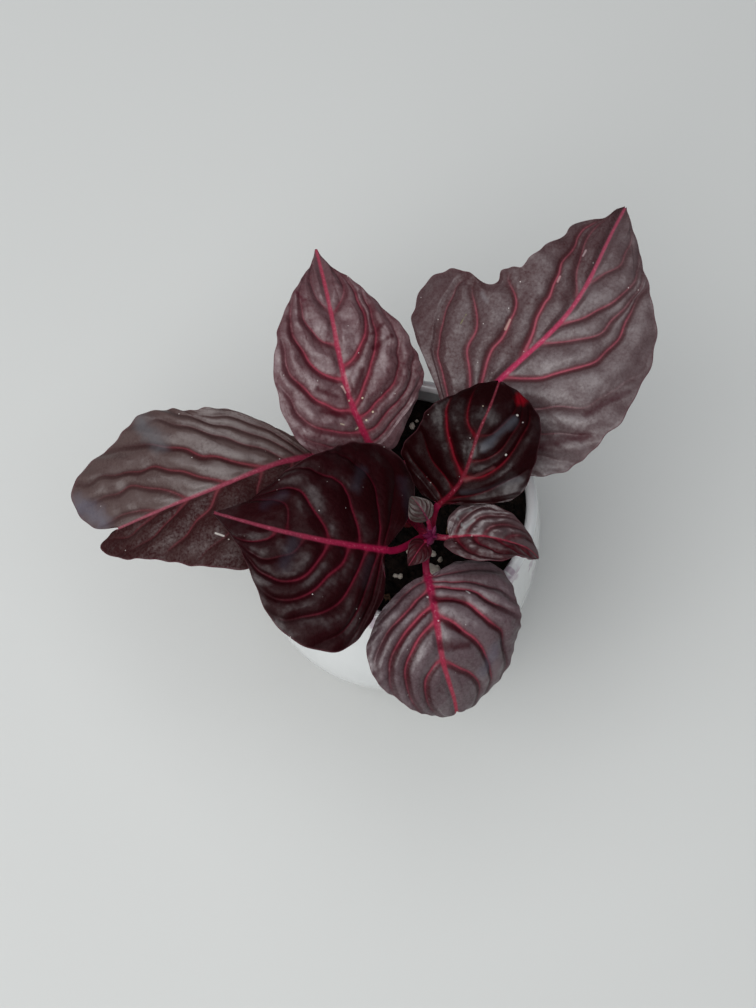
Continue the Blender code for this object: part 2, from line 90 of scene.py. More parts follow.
# Leaves, as in the solids
RIB_DEPTH, RIB_HALF_WIDTH, RIB_TAPER = 1.0, 0.9, 0.8
TIP_HALF_WIDTH = 0.35
VEIN_CROWDING, VEIN_FORWARD, VEIN_SPREAD = 1.55, 0.25, 0.62
STALK_WIDTH, STALK_CROWN, STALK_KEEL, STALK_SWELL = 0.94, 0.7, 0.9, 1.12

# Side veins: the stations from midrib to margin, and the rows of a leaf without its own
VEIN_STATIONS = (0.0, 0.25, 0.5, 0.75, 1.0)
YOUNG_VEINS = (
    (0.25, 0.15, 0.2, 0.27, 0.37, 0.5),
    (0.3, 0.35, 0.4, 0.47, 0.57, 0.7),
    (0.25, 0.55, 0.59, 0.66, 0.74, 0.84),
    (0.2, 0.75, 0.78, 0.82, 0.88, 0.94),
)

# Marks on the leaves: painted shade in folds, straw and chalky dust
FOLD_SHADE, DARK_FOLD_SHADE = (0.04, 0.002, 0.006), (0.03, 0.0015, 0.004)
STRAW, CHALK = (0.45, 0.38, 0.28), (0.5, 0.47, 0.44)

# Stage, in metres and degrees: the camera is tilted from straight down, then rolled
FLOOR_REACH, FLOOR_DROP, FLOOR_POINTS = 4.0, 0.00005, 9
PANEL_AIM = (0.0, 0.0, 0.09)
# Each panel's place and the length of its sides
FRONT_PANEL, OVERHEAD_PANEL = ((-0.55, -0.75, 1.1), 1.2), ((-0.35, -0.3, 1.55), 2.3)
CAMERA_PLACE, CAMERA_TILT, CAMERA_ROLL = (-0.0084, -0.169108, 0.518381), 21.0, 9.4
SENSOR_WIDTH = 36.0


def speck(place, size, colour):
    """A round mark: a streak that ends where it starts, with a crisp edge."""
    return place, place, size, 0, colour


@dataclass
class Blade:
    """One leaf, in millimetres and degrees.

    node: the solid it stands for. joint: where its stalk grows from the stem.
    midrib: points from the blade's base to its tip.
    left, right: the outline of each half, laid flat, as (along the midrib, out from it).
    bend_left, bend_right: (rise at the midrib, more rise for each 10 mm outwards).
    wave: (height, number, phase) of the margin's waves.
    steady: how much of the length the sideways directions are averaged over.
    veins_left, veins_right: one row for each side vein: how bold it is, then the row that it
    crosses at the stations from the midrib to the margin, as a fraction of all rows.
    lean: how far, in millimetres along the leaf, the painted shade beside each left and right side
    vein lies from it. halves: how much greyer than the rest each half is, as painted light and shade.
    patchy: how much the gloss keeps to patches.
    grey: the colour between the side veins, in part a painted sheen. deep: the colour of the painted
    shade and of the darkest skin. vein: the colour of the side veins. rib, rib_end: the colour of the
    midrib at its base and tip. rib_width: half its width at the blade's base. sheen: how strong the
    waxy coat is. rough: how dull that coat is.
    relief: how puckered the skin is. quilt: how high it swells, against the setting. scallop: how
    far the margin wavers, in millimetres.
    marks: streaks and specks, as (start, end, half width, softness, colour): dust, straw, painted
    shade in folds, painted sheen, painted highlights and a painted glow of light through the blade.
    One whose softness is 1 lies under the waxy coat, and the others lie over it.
    """

    node: str
    joint: tuple
    midrib: tuple
    left: tuple
    right: tuple
    bend_left: tuple
    bend_right: tuple
    wave: tuple = (0.0, 3, 0.0)
    stalk_radius: float = 1.1
    steady: float = 0.0
    veins_left: tuple = YOUNG_VEINS
    veins_right: tuple = YOUNG_VEINS
    shade_lean: tuple = (0.0, 0.0)
    half_shading: tuple = (0.0, 0.0)
    patchy: float = 0.0
    grey_and_sheen: tuple = (0.030, 0.010, 0.010)
    deep: tuple = (0.028, 0.0018, 0.0034)
    vein: tuple = (0.10, 0.010, 0.018)
    rib: tuple = (0.26, 0.008, 0.042)
    rib_end: tuple = (0.24, 0.040, 0.065)
    rib_width: float = 1.0
    sheen: float = 0.25
    rough: float = 0.40
    relief: float = 1.0
    quilt: float = 1.0
    scallop: float = 0.3
    marks: tuple = ()
    slot: str = "leaf_dark"
    seed: int = 1


OPEN_BLADES = (
    Blade(
        node="leaf_front_left", seed=3,
        joint=(7.6, -16.8, 103.5),
        midrib=((-4, -27, 113), (-21, -30, 121), (-37, -29, 121), (-54, -24, 112)),
        left=((2, 3), (1, 10), (3, 18), (11, 29), (20, 30), (29, 24), (38, 11), (48, 4)),
        right=((-2, 3), (-8, 10), (-13, 20), (-11, 29), (-1, 34), (18, 30), (38, 19), (48, 6)),
        bend_left=(0, -8), bend_right=(0, -3), wave=(0.7, 3, 0.5),
        relief=1.1,
        veins_left=(
            (0.4, 0.08, 0.11, 0.17, 0.26, 0.38),
            (0.7, 0.141, 0.185, 0.272, 0.37, 0.47),
            (1, 0.243, 0.329, 0.418, 0.505, 0.6),
            (1, 0.374, 0.439, 0.518, 0.6, 0.7),
            (1, 0.492, 0.533, 0.605, 0.71, 0.82),
            (0.25, 0.6, 0.64, 0.7, 0.79, 0.88),
            (0.6, 0.722, 0.743, 0.79, 0.86, 0.93),
        ),
        veins_right=(
            (0.3, 0.07, 0.1, 0.16, 0.26, 0.42),
            (0.9, 0.147, 0.195, 0.294, 0.443, 0.63),
            (0.9, 0.309, 0.375, 0.5, 0.66, 0.8),
            (0.8, 0.49, 0.575, 0.72, 0.84, 0.92),
            (0.3, 0.68, 0.72, 0.81, 0.89, 0.96),
        ),
        patchy=0.85,
        grey_and_sheen=(0.017, 0.0016, 0.0026), deep=(0.0085, 0.0005, 0.0010), vein=(0.105, 0.008, 0.018),
        rib=(0.25, 0.007, 0.040), rib_end=(0.17, 0.030, 0.050), rib_width=1.4,
        sheen=0.42, rough=0.33,
        # The marks are painted sheen: soft bluish patches on the raised skin
        marks=(
            ((-31.3, -39.5, 122.1), (-29.9, -31.8, 122.5), 1.9, 1, (0.022, 0.018, 0.026)),
            ((-15.4, -10.8, 117.3), (-14.7, -4.9, 114.8), 1.9, 1, (0.024, 0.019, 0.027)),
            ((-2.0, -3.4, 107.6), (1.4, -13.3, 108.1), 2.2, 1, (0.020, 0.013, 0.020)),
            ((-39.3, -21.6, 119.9), (-35.3, -18.6, 121.3), 2.0, 1, (0.020, 0.012, 0.020)),
            ((-8.5, -39.0, 116.4), (-7.7, -31.6, 116.1), 1.8, 1, (0.020, 0.011, 0.015)),
        ),
    ),
    Blade(
        node="leaf_far_left", seed=5,
        joint=(-1.4, 5.2, 88.4), stalk_radius=1.2,
        midrib=((-30, 4, 98), (-40, -2, 102), (-53, -11, 103), (-67, -18, 98), (-84, -25, 87)),
        left=((1, 6), (5, 15), (14, 24), (26, 27.5), (39, 23), (56, 14), (68, 9), (74, 3)),
        right=((1, 4), (7, 9), (19, 21), (31, 26), (46, 31), (59, 28), (72, 23), (79, 17), (79, 9),
               (74, 3)),
        bend_left=(10, -8), bend_right=(10, -6), wave=(0.9, 4, 1.0),
        scallop=0.5, quilt=1.15,
        veins_left=(
            (0.4, 0.24, 0.3, 0.36, 0.41, 0.46),
            (0.6, 0.42, 0.47, 0.51, 0.55, 0.59),
            (0.9, 0.61, 0.64, 0.65, 0.67, 0.7),
            (0.6, 0.73, 0.76, 0.785, 0.81, 0.84),
            (0.4, 0.84, 0.87, 0.89, 0.91, 0.94),
        ),
        veins_right=(
            (0.2, 0.08, 0.16, 0.24, 0.3, 0.35),
            (0.2, 0.17, 0.26, 0.34, 0.4, 0.45),
            (0.3, 0.27, 0.37, 0.45, 0.51, 0.55),
            (1, 0.4, 0.53, 0.575, 0.615, 0.66),
            (0.8, 0.575, 0.655, 0.715, 0.745, 0.77),
            (0.6, 0.735, 0.756, 0.785, 0.815, 0.85),
            (0.4, 0.85, 0.87, 0.89, 0.91, 0.94),
        ),
        shade_lean=(-0.4, 0.4), half_shading=(-0.6, 0.25),
        grey_and_sheen=(0.070, 0.041, 0.038), deep=(0.027, 0.0075, 0.0080), vein=(0.14, 0.030, 0.038),
        rib=(0.22, 0.022, 0.050), rib_end=(0.22, 0.060, 0.080), rib_width=1.35,
        sheen=0.6, rough=0.38,
        marks=(
            ((-53.4, -26.9, 103.2), (-51.0, -27.3, 103.2), 0.4, 0.1, CHALK),
            speck((-49.3, -28.3, 103.8), 0.35, (0.4, 0.35, 0.32)),
            # Painted sheen: two soft bluish patches
            ((-97.6, -18.0, 82.0), (-89.9, -22.4, 84.7), 3.6, 1, (0.11, 0.105, 0.135)),
            ((-83.1, 6.2, 96.4), (-75.5, -0.6, 99.1), 3, 1, (0.1, 0.1, 0.11)),
        ),
    ),
    Blade(
        node="leaf_back_left", slot="leaf_sheen", seed=7,
        joint=(-1.9, 6.6, 90.6),
        midrib=((-13, 9, 99), (-20, 17, 107), (-25, 26, 112), (-30, 39, 115), (-35, 53, 114),
                (-40, 67, 110)),
        left=((1, 8), (6, 15), (13, 19.5), (25, 20.5), (35, 18.5), (47, 13.5), (58, 6), (64, 2.5)),
        right=((-3, 5), (-1, 10), (4, 17), (13, 23.5), (27, 23.5), (41, 17.5), (53, 9), (63, 2.5)),
        bend_left=(8, -9), bend_right=(8, -9), wave=(0.6, 4, 0.0),
        scallop=0.5, relief=1.8, quilt=1.2,
        veins_left=(
            (0.5, 0.1, 0.13, 0.18, 0.25, 0.33),
            (0.7, 0.218, 0.25, 0.3, 0.365, 0.45),
            (1, 0.345, 0.385, 0.43, 0.505, 0.62),
            (1, 0.492, 0.51, 0.56, 0.655, 0.78),
            (0.5, 0.625, 0.642, 0.68, 0.76, 0.87),
            (0.2, 0.76, 0.78, 0.82, 0.88, 0.94),
        ),
        veins_right=(
            (0.5, 0.11, 0.12, 0.165, 0.25, 0.38),
            (0.7, 0.205, 0.215, 0.262, 0.36, 0.51),
            (0.9, 0.3, 0.32, 0.385, 0.51, 0.69),
            (1, 0.36, 0.455, 0.6, 0.69, 0.78),
            (1, 0.54, 0.585, 0.65, 0.79, 0.9),
            (0.3, 0.74, 0.76, 0.8, 0.87, 0.95),
        ),
        shade_lean=(-0.5, -0.5), patchy=0.3,
        grey_and_sheen=(0.128, 0.067, 0.074), deep=(0.055, 0.008, 0.013), vein=(0.25, 0.042, 0.064),
        rib=(0.28, 0.010, 0.045), rib_end=(0.30, 0.045, 0.075), rib_width=1.55,
        sheen=1.0,
        marks=(
            # Painted shade: dark patches in the cross folds
            ((-21.2, 20.6, 109.7), (-19.6, 27.5, 113.1), 1.2, 0.6, FOLD_SHADE),
            ((-18.5, 38.6, 115.9), (-15.7, 42.2, 115.9), 0.9, 0.6, FOLD_SHADE),
            ((-17.4, 34.6, 114.2), (-12.7, 39.1, 115.3), 1.0, 0.6, FOLD_SHADE),
            ((-31.5, 19.6, 112.6), (-25.6, 18.8, 110.6), 1.1, 0.6, FOLD_SHADE),
            ((-29.2, 14.0, 109.5), (-22.5, 14.1, 107.6), 1.1, 0.6, FOLD_SHADE),
            ((-42.8, 48.3, 115.6), (-40.5, 46.0, 115.6), 0.8, 0.8, (0.06, 0.004, 0.012)),
            ((-24.6, 22.1, 111.1), (-23.4, 20.8, 110.3), 0.55, 0.2, (0.55, 0.36, 0.34)),
            speck((-21.9, 19.0, 108.9), 0.4, STRAW),
            speck((-18.1, 20.4, 109.3), 0.4, STRAW),
            ((-23.2, 12.0, 107.1), (-22.2, 12.0, 106.7), 0.4, 0, STRAW),
            speck((-15.9, 15.2, 105.5), 0.4, STRAW),
            speck((-14.4, 17.9, 106.2), 0.45, STRAW),
            ((-18.6, 12.2, 104.4), (-18.1, 12.8, 104.4), 0.35, 0, STRAW),
        ),
    ),
    Blade(
        node="leaf_back_right", slot="leaf_sheen", seed=9,
        joint=(-2.2, 7.6, 92.4), stalk_radius=1.3,
        midrib=((10, 17, 103), (22, 32, 115), (38, 52, 124), (46, 74, 127), (51, 90, 125)),
        left=((2, 4), (7, 12), (12, 25), (16.4, 34.1), (20.6, 38.1), (24.6, 39.5), (30.7, 38),
              (34, 35.2), (36.9, 31.6), (37.8, 27), (39.8, 23), (43.1, 23.4), (47.8, 23.5),
              (52.4, 21.5), (53.2, 19.6), (55.4, 19.2), (63.2, 17.1), (68.3, 14.3), (72.5, 12.5),
              (74.8, 12.5), (79.9, 7.7), (83, 4), (86.5, 2.6)),
        right=((-1, 5), (1, 15), (7, 26), (14, 32.5), (29, 34.5), (46, 31), (57, 25), (66, 17),
               (77, 10), (86, 3)),
        bend_left=(10, -7), bend_right=(10, -7), wave=(1.0, 4, 2.2),
        scallop=0.7, relief=1.05, quilt=1.5,
        veins_left=(
            (0.6, 0.03, 0.12, 0.32, 0.41, 0.47),
            (0.7, 0.2, 0.37, 0.44, 0.475, 0.51),
            (0.9, 0.27, 0.47, 0.57, 0.61, 0.64),
            (1, 0.5, 0.625, 0.76, 0.87, 0.94),
            (0.3, 0.72, 0.78, 0.86, 0.92, 0.97),
        ),
        veins_right=(
            (0.2, 0.08, 0.16, 0.24, 0.3, 0.35),
            (0.3, 0.17, 0.26, 0.34, 0.41, 0.47),
            (0.3, 0.28, 0.37, 0.46, 0.54, 0.61),
            (1, 0.41, 0.51, 0.615, 0.72, 0.8),
            (0.5, 0.565, 0.63, 0.685, 0.752, 0.83),
            (0.6, 0.638, 0.703, 0.757, 0.8, 0.87),
            (0.3, 0.77, 0.81, 0.85, 0.885, 0.93),
        ),
        shade_lean=(-0.4, -0.45), half_shading=(-0.3, 0.05), patchy=0.25,
        grey_and_sheen=(0.090, 0.057, 0.060), deep=(0.045, 0.015, 0.017), vein=(0.30, 0.068, 0.095),
        rib=(0.44, 0.020, 0.088), rib_end=(0.27, 0.050, 0.085), rib_width=1.5,
        sheen=0.95,
        marks=(
            # Painted shade: dark patches in two folds
            ((36.1, 12.6, 113.4), (48.6, 16.2, 117.7), 1.8, 0.7, (0.035, 0.002, 0.006)),
            ((47.1, 21.6, 120.3), (58.0, 30.2, 122.7), 1.3, 0.8, (0.035, 0.006, 0.01)),
            ((7.2, 46.0, 117.3), (8.3, 48.8, 118.2), 0.4, 0.2, (0.24, 0.25, 0.09)),
            ((20.4, 45.2, 120.0), (21.3, 48.0, 120.9), 0.5, 0.3, (0.4, 0.25, 0.22)),
            ((33.3, 60.2, 126.5), (33.7, 61.7, 127.0), 0.45, 0.3, (0.36, 0.21, 0.22)),
            ((39.7, 69.6, 127.6), (40.3, 71.3, 127.9), 0.4, 0.5, (0.33, 0.24, 0.25)),
            # A painted sheen patch
            ((12.0, 54.9, 121.3), (13.8, 52.6, 121.3), 0.8, 1, (0.16, 0.14, 0.15)),
        ),
    ),
    Blade(
        node="leaf_upper_right", seed=11,
        joint=(7.8, -17.0, 104.4), steady=0.6,
        midrib=((9, -10, 112), (14, -5, 121), (16, 5, 129), (18, 13, 131), (20, 23, 129)),
        left=((-1, 3.8), (-1.6, 6.9), (-1.1, 10.9), (0.6, 14.7), (4.7, 20.2), (12, 20.7), (21.2, 18.2),
              (29.1, 15.4), (35.9, 11.2), (41.3, 5.7)),
        right=((4.1, 3), (6.6, 7.1), (9.8, 12.2), (14.9, 16.5), (21.2, 18.3), (29.1, 17.7),
               (36.1, 15.8), (41.8, 12.1), (43.9, 6.3)),
        bend_left=(-12, -5), bend_right=(-4, -9), wave=(0.6, 3, 1.4),
        veins_left=(
            (0.2, 0.13, 0.2, 0.26, 0.31, 0.35),
            (0.4, 0.31, 0.37, 0.42, 0.47, 0.52),
            (1.4, 0.455, 0.52, 0.615, 0.71, 0.79),
            (0.6, 0.69, 0.735, 0.81, 0.88, 0.94),
        ),
        veins_right=(
            (0.2, 0.05, 0.15, 0.23, 0.28, 0.32),
            (0.3, 0.14, 0.32, 0.42, 0.48, 0.52),
            (1, 0.445, 0.495, 0.58, 0.72, 0.88),
            (0.3, 0.56, 0.6, 0.69, 0.83, 0.94),
            (0.2, 0.7, 0.74, 0.8, 0.89, 0.96),
        ),
        shade_lean=(-0.3, -0.3), half_shading=(-0.35, 0.1), patchy=0.9,
        grey_and_sheen=(0.011, 0.0010, 0.0015), deep=(0.0065, 0.0003, 0.0006), vein=(0.12, 0.004, 0.010),
        rib=(0.10, 0.004, 0.012), rib_end=(0.13, 0.020, 0.030),
        sheen=0.5, rough=0.34,
        marks=(
            # A painted glow: light shining through the blade near its tip
            ((26.7, 18.6, 128.6), (27.2, 19.7, 128.0), 2.1, 0.6, (0.20, 0.001, 0.007)),
            speck((26.4, 13.4, 130.0), 0.5, CHALK),
            speck((24.9, 1.7, 127.8), 0.45, CHALK),
            speck((28.2, 11.6, 129.7), 0.3, (0.3, 0.26, 0.26)),
            speck((16.3, 13.9, 131.2), 0.3, (0.25, 0.2, 0.15)),
            # Painted sheen across the right half, a painted highlight along a side vein, and painted sheen
            # by the lower margin
            ((18.3, 2.3, 128.7), (25.9, 11.8, 130.3), 1.3, 1, (0.06, 0.064, 0.078)),
            ((14.9, -5.2, 121.4), (22.0, -1.9, 125.4), 0.7, 1, (0.15, 0.045, 0.05)),
            ((14.8, -8.2, 118.8), (30.0, -3.1, 123.7), 1, 1, (0.035, 0.03, 0.036)),
        ),
    ),
    Blade(
        node="leaf_front", slot="leaf_sheen", seed=13,
        joint=(7.0, -15.4, 100.0), steady=0.35,
        midrib=((9, -29, 103), (13, -42, 107), (17, -53, 102), (22, -60, 92), (24, -63, 86)),
        left=((1, 2), (-3, 7), (-5, 15), (-1, 22.5), (12, 25.5), (27, 25.5), (38, 21), (46, 12),
              (49.5, 5)),
        right=((1, 2), (4, 9), (12, 17), (20, 21), (30, 19), (38, 14), (45, 8), (48.5, 3)),
        bend_left=(0, -8), bend_right=(0, -8), wave=(0.6, 4, 0.8),
        relief=1.3, quilt=1.25,
        veins_left=(
            (0.3, 0.07, 0.11, 0.17, 0.23, 0.3),
            (0.5, 0.148, 0.217, 0.289, 0.355, 0.42),
            (0.8, 0.216, 0.285, 0.37, 0.44, 0.53),
            (1.3, 0.337, 0.4, 0.495, 0.64, 0.79),
            (0.9, 0.45, 0.555, 0.69, 0.8, 0.9),
            (0.7, 0.7, 0.765, 0.83, 0.885, 0.94),
        ),
        veins_right=(
            (0.3, 0.09, 0.15, 0.22, 0.29, 0.35),
            (0.7, 0.227, 0.318, 0.395, 0.465, 0.54),
            (1, 0.387, 0.438, 0.502, 0.58, 0.67),
            (0.9, 0.487, 0.535, 0.607, 0.7, 0.81),
            (0.7, 0.692, 0.71, 0.763, 0.84, 0.92),
        ),
        shade_lean=(0.6, 0.55), half_shading=(0.2, 0.06), patchy=0.35,
        grey_and_sheen=(0.096, 0.062, 0.070), deep=(0.026, 0.0018, 0.0036), vein=(0.29, 0.048, 0.074),
        rib=(0.22, 0.004, 0.036), rib_end=(0.30, 0.035, 0.060), rib_width=1.7,
        sheen=1.0,
        marks=(
            # Painted shade: dark patches in three folds
            ((15.9, -49.3, 104.9), (23.4, -47.8, 103.9), 1.9, 0.5, DARK_FOLD_SHADE),
            ((12.4, -36.6, 106.2), (20.0, -35.7, 106.0), 1.7, 0.5, DARK_FOLD_SHADE),
            ((16.3, -44.1, 106.9), (20.1, -44.9, 105.8), 1.1, 0.5, DARK_FOLD_SHADE),
            speck((9.9, -36.6, 106.5), 0.45, (0.5, 0.42, 0.42)),
            ((20.7, -32.6, 105.6), (21.6, -33.2, 106.2), 0.4, 0.2, (0.36, 0.34, 0.34)),
            speck((13.9, -43.2, 107.1), 0.35, (0.45, 0.3, 0.32)),
            # A painted sheen patch near the tip
            ((29.8, -52.5, 95.2), (31.9, -46.0, 99.4), 2.2, 1, (0.085, 0.075, 0.1)),
        ),
    ),
    Blade(
        node="leaf_small_right", slot="leaf_sheen", seed=15,
        joint=(8.2, -18.2, 106.4), stalk_radius=0.9,
        midrib=((13.5, -18.6, 109), (20, -18, 112), (25, -18, 113), (30, -18, 112),
                (36, -18, 109), (40, -19, 105)),
        left=((0, 5), (4, 9), (10, 10), (17, 8), (24, 4)),
        right=((-1, 3), (3, 7), (9, 9), (15, 8.5), (20, 4.5), (25, 3)),
        bend_left=(15, -8), bend_right=(30, -14), wave=(0.5, 2, 0.3),
        relief=2.2,
        veins_left=(
            (0.4, 0.15, 0.19, 0.27, 0.39, 0.55),
            (0.5, 0.32, 0.36, 0.44, 0.56, 0.7),
            (0.5, 0.5, 0.54, 0.62, 0.73, 0.84),
            (0.4, 0.68, 0.71, 0.77, 0.85, 0.93),
        ),
        veins_right=(
            (0.7, 0.2, 0.24, 0.32, 0.44, 0.58),
            (0.8, 0.42, 0.46, 0.54, 0.65, 0.77),
            (0.7, 0.62, 0.655, 0.72, 0.8, 0.89),
            (0.5, 0.8, 0.82, 0.86, 0.91, 0.96),
        ),
        shade_lean=(0.35, -0.3), half_shading=(0.3, -0.15), patchy=0.3,
        grey_and_sheen=(0.062, 0.035, 0.038), deep=(0.030, 0.0020, 0.0036), vein=(0.11, 0.009, 0.018),
        rib=(0.20, 0.016, 0.034), rib_end=(0.20, 0.030, 0.045), rib_width=0.7,
        sheen=1.0, rough=0.36,
        marks=(
            # Painted highlights: pale streaks on the puckered base
            ((17.3, -15.9, 112.2), (19.5, -13.5, 112.9), 0.6, 0.6, (0.24, 0.24, 0.24)),
            ((14.8, -13.4, 112.0), (16.4, -15.4, 112.0), 0.5, 0.6, (0.18, 0.18, 0.18)),
            ((19.5, -21.9, 114.3), (25.6, -23.5, 116.1), 0.5, 0.7, (0.22, 0.18, 0.18)),
            ((14.5, -12.7, 112.6), (18.2, -10.6, 112.9), 0.5, 0.8, (0.14, 0.14, 0.14)),
        ),
    ),
)

YOUNG_BLADES = (
    Blade(
        node="young_leaf_front", slot="leaf_young", seed=17,
        joint=(8.4, -18.6, 107.4), stalk_radius=0.7,
        midrib=((6.6, -21.6, 109.4), (5.4, -24, 110.2), (4.2, -26.6, 109.6), (3.2, -28.6, 108)),
        left=((0.5, 2.2), (2.5, 4), (5, 3.2)),
        right=((0.5, 2), (2.5, 3.4), (5, 2.6)),
        bend_left=(25, -40), bend_right=(25, -40),
        grey_and_sheen=(0.022, 0.002, 0.004), vein=(0.06, 0.004, 0.010),
        rib=(0.12, 0.006, 0.020), rib_end=(0.14, 0.020, 0.035), rib_width=0.4,
    ),
    Blade(
        node="young_leaf_inner", slot="leaf_young", seed=19,
        joint=(8.5, -18.7, 108.2), stalk_radius=0.7,
        midrib=((6.4, -15.2, 111.4), (4.4, -13.2, 113), (2.4, -11.2, 113.4), (0.6, -9.6, 112.6)),
        left=((0.5, 2.2), (3, 4.6), (5.5, 3.6)),
        right=((0.5, 2), (3, 3.4), (5.5, 2.6)),
        bend_left=(10, -25), bend_right=(10, -25),
        grey_and_sheen=(0.055, 0.048, 0.042), vein=(0.05, 0.012, 0.020),
        rib=(0.09, 0.010, 0.030), rib_end=(0.10, 0.030, 0.040), rib_width=0.4,
        sheen=0.5,
    ),
)


def length(name, description, millimetres):
    """A length setting in metres, given in millimetres."""
    return FloatProperty(name=name, description=description, default=millimetres * MM, min=0.0,
                         precision=5, unit="LENGTH")


def tint(name, description, colour):
    """A colour setting, as linear red, green and blue."""
    return FloatVectorProperty(name=name, description=description, default=colour, size=3,
                               min=0.0, max=1.0, subtype="COLOR")


class BloodleafLeafSettings(bpy.types.PropertyGroup):
    """Sizes and colours of the leaves and stems."""

    spacing: length("Mesh spacing", "Distance between neighbouring points of an open blade", 0.46)
    thickness: length("Blade thickness", "Thickness of an open blade away from its midrib", 0.46)
    quilting: length("Quilting", "How high a blade swells between two side veins", 0.85)
    groove: length("Vein groove", "How deep a side vein is sunk", 0.2)
    vein_width: length("Vein width", "Half the width of a bold side vein at the midrib", 0.37)
    stalk: tint("Stalk", "Colour of stalks and young stems", (0.13, 0.002, 0.020))
    old_stem: tint("Old stem", "Colour of the darker blotches on a stem", (0.016, 0.0016, 0.0026))
    underside: tint("Underside", "Colour of a blade from below", (0.16, 0.012, 0.040))
    bud: tint("Bud", "Colour of a growing tip", (0.090, 0.003, 0.030))


class BloodleafPotSettings(bpy.types.PropertyGroup):
    """Sizes and colours of the pot and what fills it."""

    sides: IntProperty(name="Sides", description="Points round the turned pot", default=168, min=24)
    glaze: tint("Glaze", "Colour of the pot's glaze", (0.78, 0.80, 0.80))
    petal: tint("Petal", "Colour of the petals under the glaze", (0.42, 0.29, 0.38))
    biscuit: tint("Biscuit", "Colour of the unglazed foot", (0.62, 0.56, 0.48))
    petal_size: length("Petal size", "Length of a painted petal", 4.2)
    peat: tint("Peat", "Colour of the potting mix", (0.005, 0.0035, 0.003))
    perlite: tint("Perlite", "Colour of the white grains", (0.62, 0.58, 0.50))
    bark: tint("Bark", "Colour of the bark crumbs", (0.16, 0.085, 0.040))
    crumbs: IntProperty(name="Crumbs", description="Number of loose peat crumbs", default=420, min=0)
    grains: IntProperty(name="Grains", description="Number of scattered perlite grains", default=46,
                        min=0)


class BloodleafStageSettings(bpy.types.PropertyGroup):
    """The floor, the lights and the camera."""

    floor: tint("Floor", "Colour of the plain floor", (0.60, 0.605, 0.59))
    sky: tint("Surroundings", "Colour of the light from all round", (0.80, 0.85, 0.92))
    sky_strength: FloatProperty(name="Surroundings strength", default=0.16, min=0.0,
                                description="Brightness of the light from all round")
    front_power: FloatProperty(name="Front power", default=9.0, min=0.0, unit="POWER",
                               description="Power of the panel at the front left")
    over_power: FloatProperty(name="Overhead power", default=29.0, min=0.0, unit="POWER",
                              description="Power of the wide panel overhead")
    lens: FloatProperty(name="Lens", default=54.07, min=1.0, unit="CAMERA",
                        description="The camera's focal length")


def sign(operation, reflected=False):
    """The method behind one arithmetic sign of a wire."""

    def method(self, *other):
        pair = (*other, self) if reflected else (self, *other)
        settings = {"operation": operation}
        return self.finish.node("ShaderNodeMath", settings, dict(enumerate(pair)))

    return method


class Wire:
    """A value or colour that flows between shader nodes. Arithmetic on it adds Math nodes."""

    def __init__(self, finish, socket):
        self.finish = finish
        self.socket = socket

    def math(self, operation, *others, clamp=False):
        inputs = dict(enumerate((self, *others)))
        settings = {"operation": operation, "use_clamp": clamp}
        return self.finish.node("ShaderNodeMath", settings, inputs)

    __add__ = __radd__ = sign("ADD")
    __sub__ = sign("SUBTRACT")
    __rsub__ = sign("SUBTRACT", reflected=True)
    __mul__ = __rmul__ = sign("MULTIPLY")
    __truediv__ = sign("DIVIDE")
    __rtruediv__ = sign("DIVIDE", reflected=True)
    __gt__ = sign("GREATER_THAN")
    __abs__ = sign("ABSOLUTE")

    def fraction(self):
        return self.math("FRACT")

    def clamped(self):
        return self.math("ADD", 0.0, clamp=True)

    def eased(self, none, full, low=0.0, high=1.0):
        """Goes smoothly from low, where the value is none, to high, where it is full."""
        settings = {"interpolation_type": "SMOOTHSTEP"}
        if none > full:
            none, full, low, high = full, none, high, low
        inputs = {"Value": self, "From Min": none, "From Max": full, "To Min": low, "To Max": high}
        return self.finish.node("ShaderNodeMapRange", settings, inputs)


